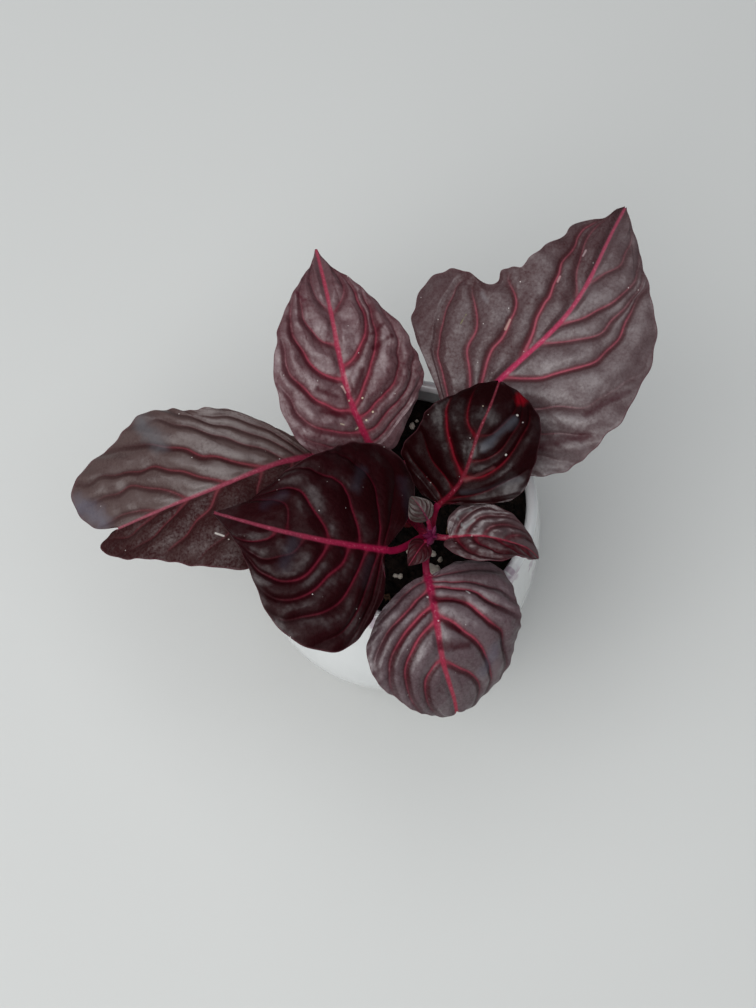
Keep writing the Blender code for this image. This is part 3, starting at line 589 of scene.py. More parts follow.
class Finish:
    """One material and the nodes that paint it."""

    def __init__(self, name):
        self.material = bpy.data.materials.new(name)
        self.material.use_nodes = True
        self.tree = self.material.node_tree
        self.shader = self.tree.nodes["Principled BSDF"]

    def node(self, kind, settings=None, inputs=None, output=0):
        """Adds a node with its settings, then its inputs, and gives one of its outputs."""
        made = self.tree.nodes.new(kind)
        for key, value in (settings or {}).items():
            setattr(made, key, value)
        for key, value in (inputs or {}).items():
            self.feed(made.inputs[key], value)
        return Wire(self, made.outputs[output])

    def feed(self, socket, value):
        if isinstance(value, Wire):
            self.tree.links.new(value.socket, socket)
        else:
            socket.default_value = value

    def set(self, **inputs):
        """Sets the shader's own inputs, with spaces in their names written as underscores."""
        for key, value in inputs.items():
            self.feed(self.shader.inputs[key.replace("_", " ")], value)

    def place(self):
        return self.node("ShaderNodeTexCoord", output="Object")

    def mark(self, name):
        """A number that the mesh carries on its points."""
        return self.node("ShaderNodeAttribute", {"attribute_name": name}, output="Fac")

    def chart(self, name):
        """The two numbers of a UV map."""
        return self.parts(self.node("ShaderNodeUVMap", {"uv_map": name}))[:2]

    def parts(self, vector):
        """The three numbers of a vector or colour."""
        first = self.node("ShaderNodeSeparateXYZ", inputs={0: vector})
        return [Wire(self, socket) for socket in first.socket.node.outputs]

    def vector(self, operation, first, second, output="Vector"):
        """A Vector Math node on two vectors, or on a vector and its scale."""
        key = "Scale" if operation == "SCALE" else 1
        inputs = {0: first, key: second}
        return self.node("ShaderNodeVectorMath", {"operation": operation}, inputs, output)

    def noise(self, vector, size, detail=2.0, roughness=0.5, distortion=0.0):
        """Cloudy noise whose blotches are about this many millimetres across."""
        inputs = {"Vector": vector, "Scale": 1.0 / (size * MM), "Detail": detail,
                  "Roughness": roughness, "Distortion": distortion}
        return self.node("ShaderNodeTexNoise", inputs=inputs)

    def cells(self, vector, size, feature="F1"):
        """The distance in cells about this many millimetres across."""
        inputs = {"Vector": vector, "Scale": 1.0 / (size * MM)}
        return self.node("ShaderNodeTexVoronoi", {"feature": feature}, inputs, "Distance")

    def warped(self, vector, size, amount):
        """A place pushed about by soft noise, by up to this many millimetres."""
        inputs = {"Vector": vector, "Scale": 1.0 / (size * MM), "Detail": 1.0}
        push = self.node("ShaderNodeTexNoise", inputs=inputs, output="Color")
        centred = self.vector("SUBTRACT", push, (0.5, 0.5, 0.5))
        return self.vector("ADD", vector, self.vector("SCALE", centred, 2 * amount * MM))

    def gap(self, place, start, end):
        """Millimetres from a place to the straight line between two points: to its foot on the
        line, which is held between both ends."""
        start, end = Vector(start) * MM, Vector(end) * MM
        run = end - start
        reach = self.vector("SUBTRACT", place, start)
        slope = run / max(run.length_squared, 1e-12)
        share = self.vector("DOT_PRODUCT", reach, slope, "Value").clamped()
        return self.vector("DISTANCE", reach, self.vector("SCALE", run, share), "Value") / MM

    def blend(self, factor, first, second):
        """A colour between two."""
        inputs = {0: factor, 6: colour(first), 7: colour(second)}
        return self.node("ShaderNodeMix", {"data_type": "RGBA"}, inputs, 2)

    def bump(self, height, distance, strength=1.0):
        """A normal from a height, where 1 stands for this many millimetres."""
        inputs = {"Height": height, "Distance": distance * MM, "Strength": strength}
        return self.node("ShaderNodeBump", inputs=inputs, output="Normal")


def colour(value):
    return value if isinstance(value, Wire) else (*value[:3], 1.0)


def unit(vectors):
    return vectors / np.linalg.norm(vectors, axis=-1, keepdims=True)


def smooth(values, none, full):
    """A smooth step from 0, where a value is none, to 1, where it is full."""
    share = np.clip((values - none) / (full - none), 0.0, 1.0)
    return share * share * (3.0 - 2.0 * share)


def ripples(points, size, seed, waves=14):
    """Soft seeded bumps about this size: a sum of sine waves that run in scattered directions."""
    rng = np.random.default_rng(seed)
    directions = unit(rng.normal(size=(waves, 3)))
    pitches = rng.uniform(0.7, 1.4, waves) * size
    phases = rng.uniform(0.0, 2 * np.pi, waves)
    total = np.zeros(points.shape[:-1])
    for direction, pitch, phase in zip(directions, pitches, phases):
        total += np.sin(2 * np.pi * (points @ direction) / pitch + phase)
    return total * math.sqrt(2.0 / waves)


def natural_spline(points, count):
    """Points on the natural cubic curve through the given ones, spaced by the root of their distance."""
    points = np.asarray(points, float)
    steps = np.sqrt(np.linalg.norm(np.diff(points, axis=0), axis=1))
    knots = np.concatenate([[0.0], np.cumsum(steps)])
    size = len(points)
    system = np.eye(size)
    target = np.zeros_like(points)
    for i in range(1, size - 1):
        before, after = steps[i - 1], steps[i]
        system[i, i - 1:i + 2] = (before, 2.0 * (before + after), after)
        rise = (points[i + 1] - points[i]) / after - (points[i] - points[i - 1]) / before
        target[i] = 6.0 * rise
    second = np.linalg.solve(system, target)
    where = np.linspace(0.0, knots[-1], count)
    span = np.clip(np.searchsorted(knots, where, side="right") - 1, 0, size - 2)
    width = steps[span][:, None]
    left = (knots[span + 1] - where)[:, None]
    right = (where - knots[span])[:, None]
    bowed = (second[span] * left**3 + second[span + 1] * right**3) / (6.0 * width)
    first = (points[span] / width - second[span] * width / 6.0) * left
    last = (points[span + 1] / width - second[span + 1] * width / 6.0) * right
    return bowed + first + last


def line_lengths(points):
    return np.concatenate([[0.0], np.cumsum(np.linalg.norm(np.diff(points, axis=0), axis=1))])


def spaced_evenly(points, fractions):
    """Points at the given fractions of a dense line's length."""
    lengths = line_lengths(points)
    wanted = np.asarray(fractions) * lengths[-1]
    return np.stack([np.interp(wanted, lengths, points[:, k]) for k in range(points.shape[1])], -1)


def new_piece(name, points, faces, finish, stands_for=(), chart=None, marks=None):
    """A smooth mesh from arrays, riding the plant's body.

    points are in millimetres. faces is a list of arrays of corner numbers, one row for each face.
    chart is a list of arrays of two numbers for each corner, in step with faces. marks holds one
    number for each point under each name.
    """
    mesh = bpy.data.meshes.new(name)
    totals = np.concatenate([np.full(len(group), group.shape[1]) for group in faces])
    corners = np.concatenate([group.ravel() for group in faces])
    mesh.vertices.add(len(points))
    mesh.vertices.foreach_set("co", (points * MM).astype(np.float32).ravel())
    mesh.loops.add(len(corners))
    mesh.loops.foreach_set("vertex_index", corners.astype(np.int32))
    mesh.polygons.add(len(totals))
    starts = np.concatenate([[0], np.cumsum(totals)[:-1]])
    mesh.polygons.foreach_set("loop_start", starts.astype(np.int32))
    mesh.polygons.foreach_set("loop_total", totals.astype(np.int32))
    if chart is not None:
        layer = mesh.uv_layers.new(name="chart")
        layer.data.foreach_set("uv", np.concatenate([c.ravel() for c in chart]).astype(np.float32))
    for key, values in (marks or {}).items():
        layer = mesh.attributes.new(key, "FLOAT", "POINT")
        layer.data.foreach_set("value", values.ravel().astype(np.float32))
    mesh.update(calc_edges=True)
    mesh.shade_smooth()
    mesh.materials.append(finish.material)
    obj = bpy.data.objects.new(name, mesh)
    bpy.context.scene.collection.objects.link(obj)
    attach(obj, "root")
    if stands_for:
        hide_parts(*stands_for)
    return obj


def quads(index, turned=False):
    """The four corner numbers of every face of a grid of point numbers."""
    faces = np.stack([index[:-1, :-1], index[:-1, 1:], index[1:, 1:], index[1:, :-1]], -1)
    faces = faces.reshape(-1, 4)
    return faces[:, ::-1] if turned else faces


def quad_chart(values, turned=False):
    """The chart places of the same corners, from a grid of two numbers."""
    corners = np.stack([values[:-1, :-1], values[:-1, 1:], values[1:, 1:], values[1:, :-1]], -2)
    corners = corners.reshape(-1, 4, 2)
    return corners[:, ::-1] if turned else corners


class Midrib:
    """A leaf's midrib: a curve with a tangent, an upward normal and a level leftward direction along
    it. The leftward directions are averaged over steady times the length."""

    def __init__(self, points, steady=0.0):
        self.points = natural_spline(points, 240)
        self.along = line_lengths(self.points)
        self.length = self.along[-1]
        self.tangents = unit(np.gradient(self.points, self.along, axis=0))
        headings = unit(self.tangents * (1.0, 1.0, 0.0))
        if steady:
            gaps = (self.along[:, None] - self.along) / (steady * self.length)
            headings = unit(np.exp(-gaps**2) @ headings)
        self.lefts = np.cross(UP, headings)

    def at(self, along):
        """Place, tangent, normal and left at each distance; past either end the rib runs on straight."""
        inside = np.clip(along, 0.0, self.length)

        def read(values):
            return np.stack([np.interp(inside, self.along, values[:, k]) for k in range(3)], -1)

        tangent, left = unit(read(self.tangents)), unit(read(self.lefts))
        place = read(self.points) + tangent * (along - inside)[..., None]
        return place, tangent, unit(np.cross(tangent, left)), left


def vein_numbers(rows, columns, veins):
    """A number for each place of a half: whole on each side vein, even between two, and held at a
    half before the first one and after the last one.

    Each side vein is a cubic through its rows at the stations from the midrib to the margin.
    """
    table = np.array(veins)
    powers = np.polyfit(VEIN_STATIONS, table[:, 1:].T, 3)
    lines = sum(power[:, None] * columns**(3 - k) for k, power in enumerate(powers))
    gaps = np.maximum(np.diff(lines, axis=0), 0.03)
    lines = lines[:1] + np.concatenate([np.zeros_like(lines[:1]), np.cumsum(gaps, axis=0)])
    steps = np.concatenate([gaps[:1], gaps, gaps[-1:]])
    starts = np.concatenate([lines[:1] - gaps[:1], lines])
    shares = np.clip((rows[None] - starts[:, None]) / steps[:, None], 0.0, 1.0)
    return np.clip(shares.sum(0) - 1.0, -0.499, len(veins) - 0.501)


def vein_spans(surface, numbers):
    """Millimetres from one side vein to the next: one over the slope of the vein number on the
    surface, by the metric of its grid."""
    by_row, by_column = np.gradient(surface, axis=0), np.gradient(surface, axis=1)
    n_row, n_column = np.gradient(numbers, axis=0), np.gradient(numbers, axis=1)
    e = (by_row**2).sum(-1)
    f = (by_row * by_column).sum(-1)
    g = (by_column**2).sum(-1)
    area = np.maximum(e * g - f * f, 1e-9)
    slope = np.sqrt((g * n_row**2 - 2 * f * n_row * n_column + e * n_column**2) / area)
    return np.clip(1.0 / np.maximum(slope, 1e-4), 0.5, 14.0)


def half_blade(blade, side, fractions, columns, midrib, look):
    """One half of a blade as a grid of rows and columns.

    A row is an arc from the midrib, at the length times the fraction to the power VEIN_CROWDING,
    forward and out to the margin. The flat place is then turned upwards by rise plus curl times the
    distance out. On that lie the margin's waves, the swelling between side veins, which is a raised
    cosine of the vein number, a narrow groove on each vein, creases that cross from vein to vein
    and small puckers.
    """
    outline = blade.left if side > 0 else blade.right
    ends = [(0.0, blade.stalk_radius), *outline, (midrib.length, TIP_HALF_WIDTH)]
    margin = spaced_evenly(natural_spline(ends, 600), fractions)
    margin[:, 1] += scallops(margin, fractions, blade.scallop, blade.seed * side)
    start = midrib.length * fractions**VEIN_CROWDING
    across = np.repeat(columns[None, :], len(fractions), axis=0)
    rest = 1.0 - across
    control_along = (start + VEIN_FORWARD * (margin[:, 0] - start))[:, None]
    control_out = (VEIN_SPREAD * margin[:, 1])[:, None]
    along = rest**2 * start[:, None] + 2 * across * rest * control_along + across**2 * margin[:, :1]
    out = 2 * across * rest * control_out + across**2 * margin[:, 1:]
    rise, curl = blade.bend_left if side > 0 else blade.bend_right
    rise, curl = math.radians(rise), math.radians(curl) / 10.0
    place, _, normal, left = midrib.at(along)
    angle = rise + curl * out
    outward = left * side
    surface = place + outward * ((np.sin(angle) - math.sin(rise)) / curl)[..., None]
    surface = surface + normal * ((math.cos(rise) - np.cos(angle)) / curl)[..., None]
    facing = normal * np.cos(angle)[..., None] - outward * np.sin(angle)[..., None]
    facing = unit(facing + (normal - facing) * np.exp(-out / 0.8)[..., None])
    half = {"surface": surface, "facing": facing, "out": out, "across": across}
    half.update(vein_chart(blade, side, fractions, half))
    surface += facing * blade_relief(blade, look, fractions[:, None], half)[..., None]
    return half


def scallops(margin, fractions, height, seed):
    """How far the margin wavers outwards: three sines of the distance along it, calm at both ends."""
    run = line_lengths(margin)
    waver = sum(np.sin(2 * np.pi * run / pitch + seed * pitch) for pitch in (17.0, 11.3, 7.1)) / 1.7
    return 0.6 * height * waver * np.sin(np.pi * fractions)**0.7


def vein_chart(blade, side, fractions, half):
    """The vein number, the distance between veins, the boldness of the nearest vein and the
    closeness of the next crease, which lies every few millimetres of the distance along a row."""
    veins = blade.veins_left if side > 0 else blade.veins_right
    surface, across = half["surface"], half["across"]
    wander = 0.008 * ripples(surface, 12.0, blade.seed) * smooth(across, 0.0, 0.3)
    numbers = vein_numbers(fractions[:, None] + wander, across[0], veins)
    steps = np.linalg.norm(np.diff(surface, axis=1), axis=-1)
    run = np.concatenate([np.zeros((len(fractions), 1)), np.cumsum(steps, axis=1)], axis=1)
    turn = np.pi * run / 2.9 + 1.1 * ripples(surface, 9.0, blade.seed + 3)
    return {"numbers": numbers, "spans": vein_spans(surface, numbers),
            "bold": np.interp(numbers, range(len(veins)), [vein[0] for vein in veins]),
            "crease": (1.0 - np.abs(np.sin(turn + np.pi * np.round(numbers) * 0.37)))**3}


def blade_relief(blade, look, rows, half):
    """The height of a blade's waves, swellings, grooves, creases and puckers over its smooth form."""
    across, out, surface = half["across"], half["out"], half["surface"]
    off_vein = half["numbers"] - np.round(half["numbers"])
    height, number, phase = blade.wave
    wave = height * across**3 * np.sin(2 * np.pi * number * rows + phase)
    wave += 0.3 * height * across**5 * np.sin(2 * np.pi * number * 4.3 * rows + 2 * phase)
    calm = np.sin(np.pi * np.clip(rows, 0.0, 1.0))**0.35 * smooth(out, 0.3, 2.4)
    calm = calm * (1.0 - 0.8 * smooth(across, 0.78, 1.0))
    raised = 0.5 - 0.5 * np.cos(2 * np.pi * off_vein)
    swelling = raised**0.65 * np.minimum(look.quilting / MM * blade.quilt, 0.17 * half["spans"])
    grooves = np.exp(-((off_vein * half["spans"] / 0.5)**2)) * look.groove / MM
    creases = 0.10 * half["crease"] * raised**0.5 * (blade.relief - 0.8)
    pucker = 0.06 * ripples(surface, 5.0, blade.seed + 1) + 0.018 * ripples(surface, 1.9, blade.seed + 2)
    detail = swelling - 0.3 * look.quilting / MM - grooves * (0.4 + 0.6 * half["bold"])
    detail = detail + pucker * blade.relief - creases
    hollow = 0.14 * np.exp(-((out / blade.rib_width)**2)) * (1.0 - rows)
    return wave + detail * calm * (0.6 + 0.4 * blade.relief) - hollow


def stalk_rings(blade, midrib, width, count):
    """The stalk as rings of an upper and a lower half: a curve that leaves the stem along the stub
    and meets the midrib along its tangent, with an oval section that flattens into the blade."""
    joint = np.array(blade.joint, float)
    base, tangent, _, _ = midrib.at(np.array([0.0]))
    away = unit(base[0] - joint)
    start = joint + away * (STUB_REACH - 0.9)
    reach = np.linalg.norm(base[0] - start)
    u = np.linspace(0.0, 1.0, count + 1)[:, None]
    points = (2 * u**3 - 3 * u**2 + 1) * start + (u**3 - 2 * u**2 + u) * away * reach
    points = points + (3 * u**2 - 2 * u**3) * base[0] + (u**3 - u**2) * tangent[0] * reach
    directions = unit(np.gradient(points, axis=0))
    directions[0] = away
    normals = unit(UP - directions * directions[:, 2:])
    lefts = np.cross(normals, directions)
    turn = np.linspace(0.0, np.pi, width)
    flat = np.cos(turn)[None, :, None] * lefts[:, None, :]
    high = np.sin(turn)[None, :, None] * normals[:, None, :]
    swell = (STALK_SWELL + (1.0 - STALK_SWELL) * smooth(u, 0.0, 0.3)) * blade.stalk_radius
    crown = (STALK_CROWN * (1.0 - 0.95 * smooth(u, 0.72, 1.0)))[:, :, None] * swell[:, :, None]
    keel = STALK_KEEL * swell[:, :, None]
    wide = STALK_WIDTH * swell[:, :, None]
    middle = points[:, None, :]
    seam = 0.12 * normals[:, None, :]
    upper = middle + wide * flat + crown * high + seam
    lower = middle + wide * flat - keel * high - seam
    return upper[:-1], lower[:-1]


def make_blade(blade, look, spacing, slim=1.0):
    """One leaf: its stalk and both faces of its blade, closed along the margin.

    The underside has every second column of the upper side, and a keel under the midrib."""
    midrib = Midrib(blade.midrib, blade.steady)
    reach = max(max(p[1] for p in blade.left), max(p[1] for p in blade.right))
    run = max(line_lengths(np.array([(0, 0), *side, (midrib.length, 0)], float))[-1]
              for side in (blade.left, blade.right))
    rows = int(run / spacing)
    half = 2 * int(reach / spacing / 2 + 4)
    fractions = np.linspace(0.0, 1.0, rows)
    columns = np.linspace(0.0, 1.0, half + 1)
    left = half_blade(blade, 1, fractions, columns, midrib, look)
    right = half_blade(blade, -1, fractions, columns, midrib, look)

    def joined(key):
        return np.concatenate([left[key][:, ::-1], right[key][:, 1:]], axis=1)

    surface, facing, out, across = (joined(key) for key in ("surface", "facing", "out", "across"))
    across_veins = joined("numbers") - np.round(joined("numbers"))
    taper = (1.0 - RIB_TAPER * fractions)[:, None]
    thick = 0.5 * look.thickness / MM * slim * (1.0 - 0.45 * smooth(across, 0.9, 1.0))
    keel = RIB_DEPTH * blade.stalk_radius * taper * np.exp(-((out / (0.62 * RIB_HALF_WIDTH))**2))
    veins_below = 0.22 * np.exp(-((across_veins * joined("spans") / 0.5)**2)) * smooth(out, 0.3, 1.2)
    upper = surface + facing * thick[..., None]
    lower = surface - facing * (thick + keel + veins_below)[..., None]
    width = 2 * half + 1
    rings = max(14, int(12 * blade.stalk_radius))
    stalk_upper, stalk_lower = stalk_rings(blade, midrib, width, rings)
    upper = np.concatenate([stalk_upper, upper])
    lower = np.concatenate([stalk_lower, lower])[:, ::2]
    total = rows + rings
    top = np.arange(upper.shape[0] * width).reshape(total, width)
    below = np.arange(total * (half + 1)).reshape(total, half + 1) + top.size
    points = np.concatenate([upper.reshape(-1, 3), lower.reshape(-1, 3)])

    def padded(values, stalk_value):
        rest = np.broadcast_to(stalk_value, (rings, values.shape[1]))
        return np.concatenate([rest, values])

    along = padded(np.repeat(fractions[:, None], width, axis=1),
                   -np.linspace(1.0, 0.02, rings)[:, None])
    grids = {"along": along, "out": padded(out, 0.0), "span": padded(joined("spans"), 1.0),
             "bold": padded(joined("bold"), 0.0), "crease": padded(joined("crease"), 0.0)}
    marks = {key: np.concatenate([grid.ravel(), grid[:, ::2].ravel()]) for key, grid in grids.items()}
    marks["under"] = np.concatenate([np.zeros(top.size), np.ones(below.size)])

    def half_chart(part, side):
        number = padded(part["numbers"], 0.5)
        share = padded(part["across"], 0.0)
        return np.stack([number, share * side], -1)

    chart_left = half_chart(left, 1)[:, ::-1]
    chart_right = half_chart(right, -1)
    middle = half // 2
    faces = [quads(top[:, :half + 1]), quads(top[:, half:]),
             quads(below[:, :middle + 1], True), quads(below[:, middle:], True)]
    chart = [quad_chart(chart_left), quad_chart(chart_right),
             quad_chart(chart_left[:, ::2], True), quad_chart(chart_right[:, ::2], True)]
    rim, chart_rim = margin_faces(top, below, chart_left, chart_right)
    name = blade.node.replace("leaf", "blade")
    return new_piece(name, points, faces + rim, leaf_finish(blade, look), (blade.node,),
                     chart + chart_rim, marks)


def margin_faces(top, below, chart_left, chart_right):
    """The narrow faces along both margins and across both ends of a leaf."""
    faces, chart = [], []
    for column, values, turned in ((0, chart_left[:, :1], True), (-1, chart_right[:, -1:], False)):
        strip = np.stack([top[:, column], below[:, column]], -1)
        faces.append(quads(strip, turned))
        chart.append(quad_chart(np.repeat(values, 2, axis=1), turned))
    for row, turned in ((0, True), (-1, False)):
        upper, lower = top[row], below[row]
        fan = np.stack([upper[:-2:2], upper[1:-1:2], upper[2::2], lower[1:], lower[:-1]], -1)
        faces.append(fan[:, ::-1] if turned else fan)
        value = chart_left[row, -1]
        chart.append(np.broadcast_to(value, (*fan.shape, 2)))
    return faces, chart


def leaf_finish(blade, look):
    """A blade's skin. Its side veins lie where the vein number is whole, each with painted shade to one
    side of it; between them the skin is greyer, in part as painted sheen, and each half is made
    lighter or darker as painted light and shade. The midrib is found by the distance from it and has
    a painted highlight down its middle. Painted shade in the creases, a fine net, a paler rim, dust
    specks, the leaf's own marks and a wine-red underside lie over that, and a waxy coat lies on the
    greyer skin."""
    paint = Finish(blade.node + "_finish")
    place = paint.place()
    number, side = paint.chart("chart")
    span, out, along, under = (paint.mark(key) for key in ("span", "out", "along", "under"))
    bold, crease = paint.mark("bold"), paint.mark("crease")
    share = abs(side)
    blotch = paint.noise(place, 9.0, 3.0)
    cloud = paint.noise(place, 3.2, 3.0)
    grain = paint.noise(place, 0.8, 3.0)
    signed = (number + 0.5).fraction() - 0.5
    off_vein = abs(signed)
    away = (off_vein * 2.0).eased(0.95, 0.5)
    # Painted shade beside each side vein, set off to one side of it
    shade_lean = side.eased(-0.01, 0.01, blade.shade_lean[1], blade.shade_lean[0])
    painted_shade_band = abs(signed * span - shade_lean).eased(1.7, 0.45) * away * (0.3 + bold * 0.75).clamped()
    painted_shade_band = painted_shade_band * share.eased(1.05, 0.5, 0.45, 1.0)
    distance = off_vein * span + (cloud - 0.5) * 0.35
    reach = (1.0 - share) + (blotch - 0.5) * 0.7
    strength = reach.eased(0.02, 0.8) * bold * along.eased(0.0, 0.04)
    strength = (strength * (0.75 + cloud * 0.5)).clamped()
    width = (0.6 + bold * 0.5) * (1.0 - share * 0.45) * (look.vein_width / MM)
    width = width + out.eased(3.2, 0.4) * 0.3
    ratio = distance / width
    vein = ratio.eased(1.6, 0.1) * strength
    halo = ratio.eased(4.2, 0.5) * strength
    rib_ratio = (out + (cloud - 0.5) * 0.3) / (blade.rib_width * (1.0 - along * 0.62))
    rib = rib_ratio.eased(1.15, 0.35)
    net = paint.cells(paint.warped(place, 1.6, 0.7), 2.0, "DISTANCE_TO_EDGE").eased(0.09, 0.0)
    # Painted light and shade: each half of the blade is made lighter or darker
    tone = side.eased(-0.01, 0.01, blade.half_shading[1], blade.half_shading[0])
    # The share of the greyer skin: less in the creases and beside the side veins, as painted shade
    amount = (0.80 + tone + (blotch - 0.5) * 0.8 + (cloud - 0.5) * 0.35 + (grain - 0.5) * 0.5
              - crease * 0.3 * (blade.relief - 0.8) - net * 0.12).clamped() * (1.0 - painted_shade_band * 0.92)
    # From the dark red skin to the greyer one, which is in part a painted sheen
    skin = paint.blend(amount, blade.deep, blade.grey_and_sheen)
    skin = paint.blend(halo * 0.22, skin, blade.vein)
    skin = paint.blend(vein * (0.85 + (grain - 0.5) * 0.7).clamped(), skin, blade.vein)
    rib_colour = paint.blend(along.eased(0.15, 1.0), blade.rib, blade.rib_end)
    # A painted highlight: a paler pink line down the middle of the midrib
    middle = rib_ratio.eased(0.5, 0.0) * grain.eased(0.5, 0.72) * 0.35
    rib_colour = paint.blend(middle, rib_colour, (0.55, 0.16, 0.22))
    skin = paint.blend(rib * (0.92 + (grain - 0.5) * 0.4).clamped(), skin, rib_colour)
    edge = share.eased(0.975, 0.995)
    skin = paint.blend(edge * 0.35, skin, (0.13, 0.045, 0.055))
    lower = paint.blend(amount * 0.5, look.underside, blade.deep)
    lower = paint.blend((vein * 0.8 + rib).clamped(), lower, look.stalk)
    skin = paint.blend(under, skin, lower)
    petiole = paint.blend(blotch.eased(0.35, 0.7) * 0.6, look.stalk, blade.rib)
    skin = paint.blend(along.eased(0.012, -0.03), skin, petiole)
    dust = paint.cells(place, 3.3).eased(0.07, 0.045) * paint.noise(place, 5.0, 0.0).eased(0.56, 0.62)
    skin = paint.blend(dust * (1.0 - under) * 0.75, skin, (0.50, 0.46, 0.44))
    covered = 0.0
    # The leaf's marks: dust and straw, painted fold shade, painted sheen and painted highlights
    for start, end, size, soft, shade in blade.marks:
        gap = paint.gap(place, start, end) + (cloud - 0.5) * size * (0.5 + soft)
        marked = gap.eased(size * (1.0 + 0.6 * soft), size * (0.45 - 0.45 * soft))
        marked = marked * (0.9 - 0.3 * soft)
        skin = paint.blend(marked * (1.0 - under), skin, shade)
        if soft < 1:
            covered = marked.math("MAXIMUM", covered)
    relief = grain * 0.6 - net * 0.45 + paint.noise(place, 0.3, 2.0) * 0.3
    wax = amount * 0.85 + (grain - 0.5) * 0.5 + 0.06
    wax = (wax - vein * 0.25 - rib * 0.5 - under * 0.5).clamped()
    wax = wax * (blotch.eased(0.46, 0.66) * blade.patchy + (1.0 - blade.patchy))
    wax = wax * (1.0 - covered) * blade.sheen
    rough = (0.5 + (grain - 0.5) * 0.2 + under * 0.1).clamped()
    paint.set(Base_Color=skin, Roughness=rough, Specular_IOR_Level=0.03, Coat_Weight=wax,
              Coat_Roughness=blade.rough, Coat_IOR=1.8, Normal=paint.bump(relief, 0.12, 0.8))
    return paint


def full_turn(sides):
    """Angles evenly round a circle."""
    return np.linspace(0.0, 2 * np.pi, sides, endpoint=False)


def level_rings(radii, heights, sides):
    """Rings about the Z axis: the radius and the height of each row."""
    turn = full_turn(sides)
    shape = (len(heights), sides)
    return np.stack([radii * np.cos(turn), radii * np.sin(turn), np.broadcast_to(heights, shape)], -1)


def closed(rings, ends, turned=False):
    """A grid of rings closed from its last column to its first, and by a pole at each end. Gives
    points, arrays of four-cornered faces and arrays of three-cornered ones."""
    rows, sides = rings.shape[:2]
    index = np.arange(rows * sides).reshape(rows, sides)
    wrapped = np.concatenate([index, index[:, :1]], axis=1)
    poles = np.broadcast_to(rows * sides + np.arange(2)[:, None], (2, sides))
    first = np.stack([wrapped[0, 1:], wrapped[0, :-1], poles[0]], -1)
    last = np.stack([wrapped[-1, :-1], wrapped[-1, 1:], poles[1]], -1)
    caps = [first[:, [1, 0, 2]], last[:, [1, 0, 2]]] if turned else [first, last]
    return np.concatenate([rings.reshape(-1, 3), ends]), [quads(wrapped, turned)], caps


def tube(points, radii, sides, ridges=0.0, seed=1):
    """A closed tube: circles of the given radii carried along a path, each a little ridged by a sum
    of sines round it, with both ends drawn in to a point. Gives points and faces."""
    points = np.asarray(points, float)
    directions = unit(np.gradient(points, axis=0))
    guide = np.where(np.abs(directions[:, 2:]) > 0.9, np.array([[1.0, 0.0, 0.0]]), UP)
    across = unit(np.cross(directions, guide))
    second = np.cross(directions, across)
    turn = full_turn(sides)
    circle = np.cos(turn)[:, None] * across[:, None] + np.sin(turn)[:, None] * second[:, None]
    rows = np.arange(len(points))[:, None]
    rough = np.sin(5 * turn + seed) + 0.6 * np.sin(9 * turn + 2 * seed + rows * 0.15)
    rough = 1.0 + ridges * rough
    rings = points[:, None] + circle * (np.asarray(radii)[:, None] * rough)[..., None]
    return closed(rings, points[[0, -1]])


def rounded(points, radii, steps=6):
    """A path and radii with a half-round end added before the last point."""
    turn = np.linspace(0.0, np.pi / 2, steps)[1:]
    direction = unit(points[-1] - points[-2])
    extra = points[-1] + direction * (np.sin(turn) * radii[-1])[:, None]
    return np.concatenate([points, extra]), np.concatenate([radii, radii[-1] * np.cos(turn) + 0.01])


def gathered(shapes):
    """Several shapes of points and faces as one, with the numbers of the later ones moved on."""
    points, four, three, start = [], [], [], 0
    for shape_points, shape_four, shape_three in shapes:
        points.append(shape_points)
        four += [group + start for group in shape_four]
        three += [group + start for group in shape_three]
        start += len(shape_points)
    return np.concatenate(points), four + three


def stem_shapes():
    """The trunk, the two shoots, a stub for each stalk and the folded leaves of the bud."""
    share = np.linspace(0.0, 1.0, 40)
    levels = SOIL_LEVEL - 8.0 + share * (FORK_HEIGHT + 10.0 - SOIL_LEVEL)
    widths = STEM_RADIUS * (0.95 - 0.12 * share) + 0.15 * np.exp(-6.0 * share)
    shapes = [tube(np.array([*STEM_FOOT, 0.0]) + np.outer(levels, UP), widths, 40, 0.02, 1)]
    for path, radii, seed in ((BACK_SHOOT, BACK_SHOOT_RADII, 2), (FRONT_SHOOT, FRONT_SHOOT_RADII, 3)):
        points = natural_spline(path, 90)
        shapes.append(tube(*rounded(points, np.linspace(*radii, len(points))), 36, 0.025, seed))
    share = np.linspace(0.0, 1.0, 18)
    swell = 1.0 + (STALK_SWELL - 1.0) * share + 0.18 * np.exp(-(share / 0.3)**2)
    for blade in (*OPEN_BLADES, *YOUNG_BLADES):
        joint = np.array(blade.joint, float)
        away = unit(Midrib(blade.midrib).at(np.array([0.0]))[0][0] - joint)
        points = joint + np.outer(share * (STUB_REACH - 0.3), away)
        shapes.append(tube(points, blade.stalk_radius * swell, 28, 0.02, blade.seed))
    share = np.linspace(0.0, 1.0, 16)
    fold = 0.30 * np.sin(np.pi * (0.12 + 0.86 * share))**0.8 * (1.0 - 0.4 * share)
    for bearing, lift, size in BUD_LEAVES:
        bearing, lift = math.radians(bearing), math.radians(lift)
        level = math.cos(lift)
        away = np.array([level * math.cos(bearing), level * math.sin(bearing), math.sin(lift)])
        run = np.outer(share, away) + np.outer(0.35 * share**2, UP)
        shapes.append(tube(np.array(FRONT_SHOOT[-1]) + size * run, size * fold, 18, 0.10, int(size * 10)))
    return shapes


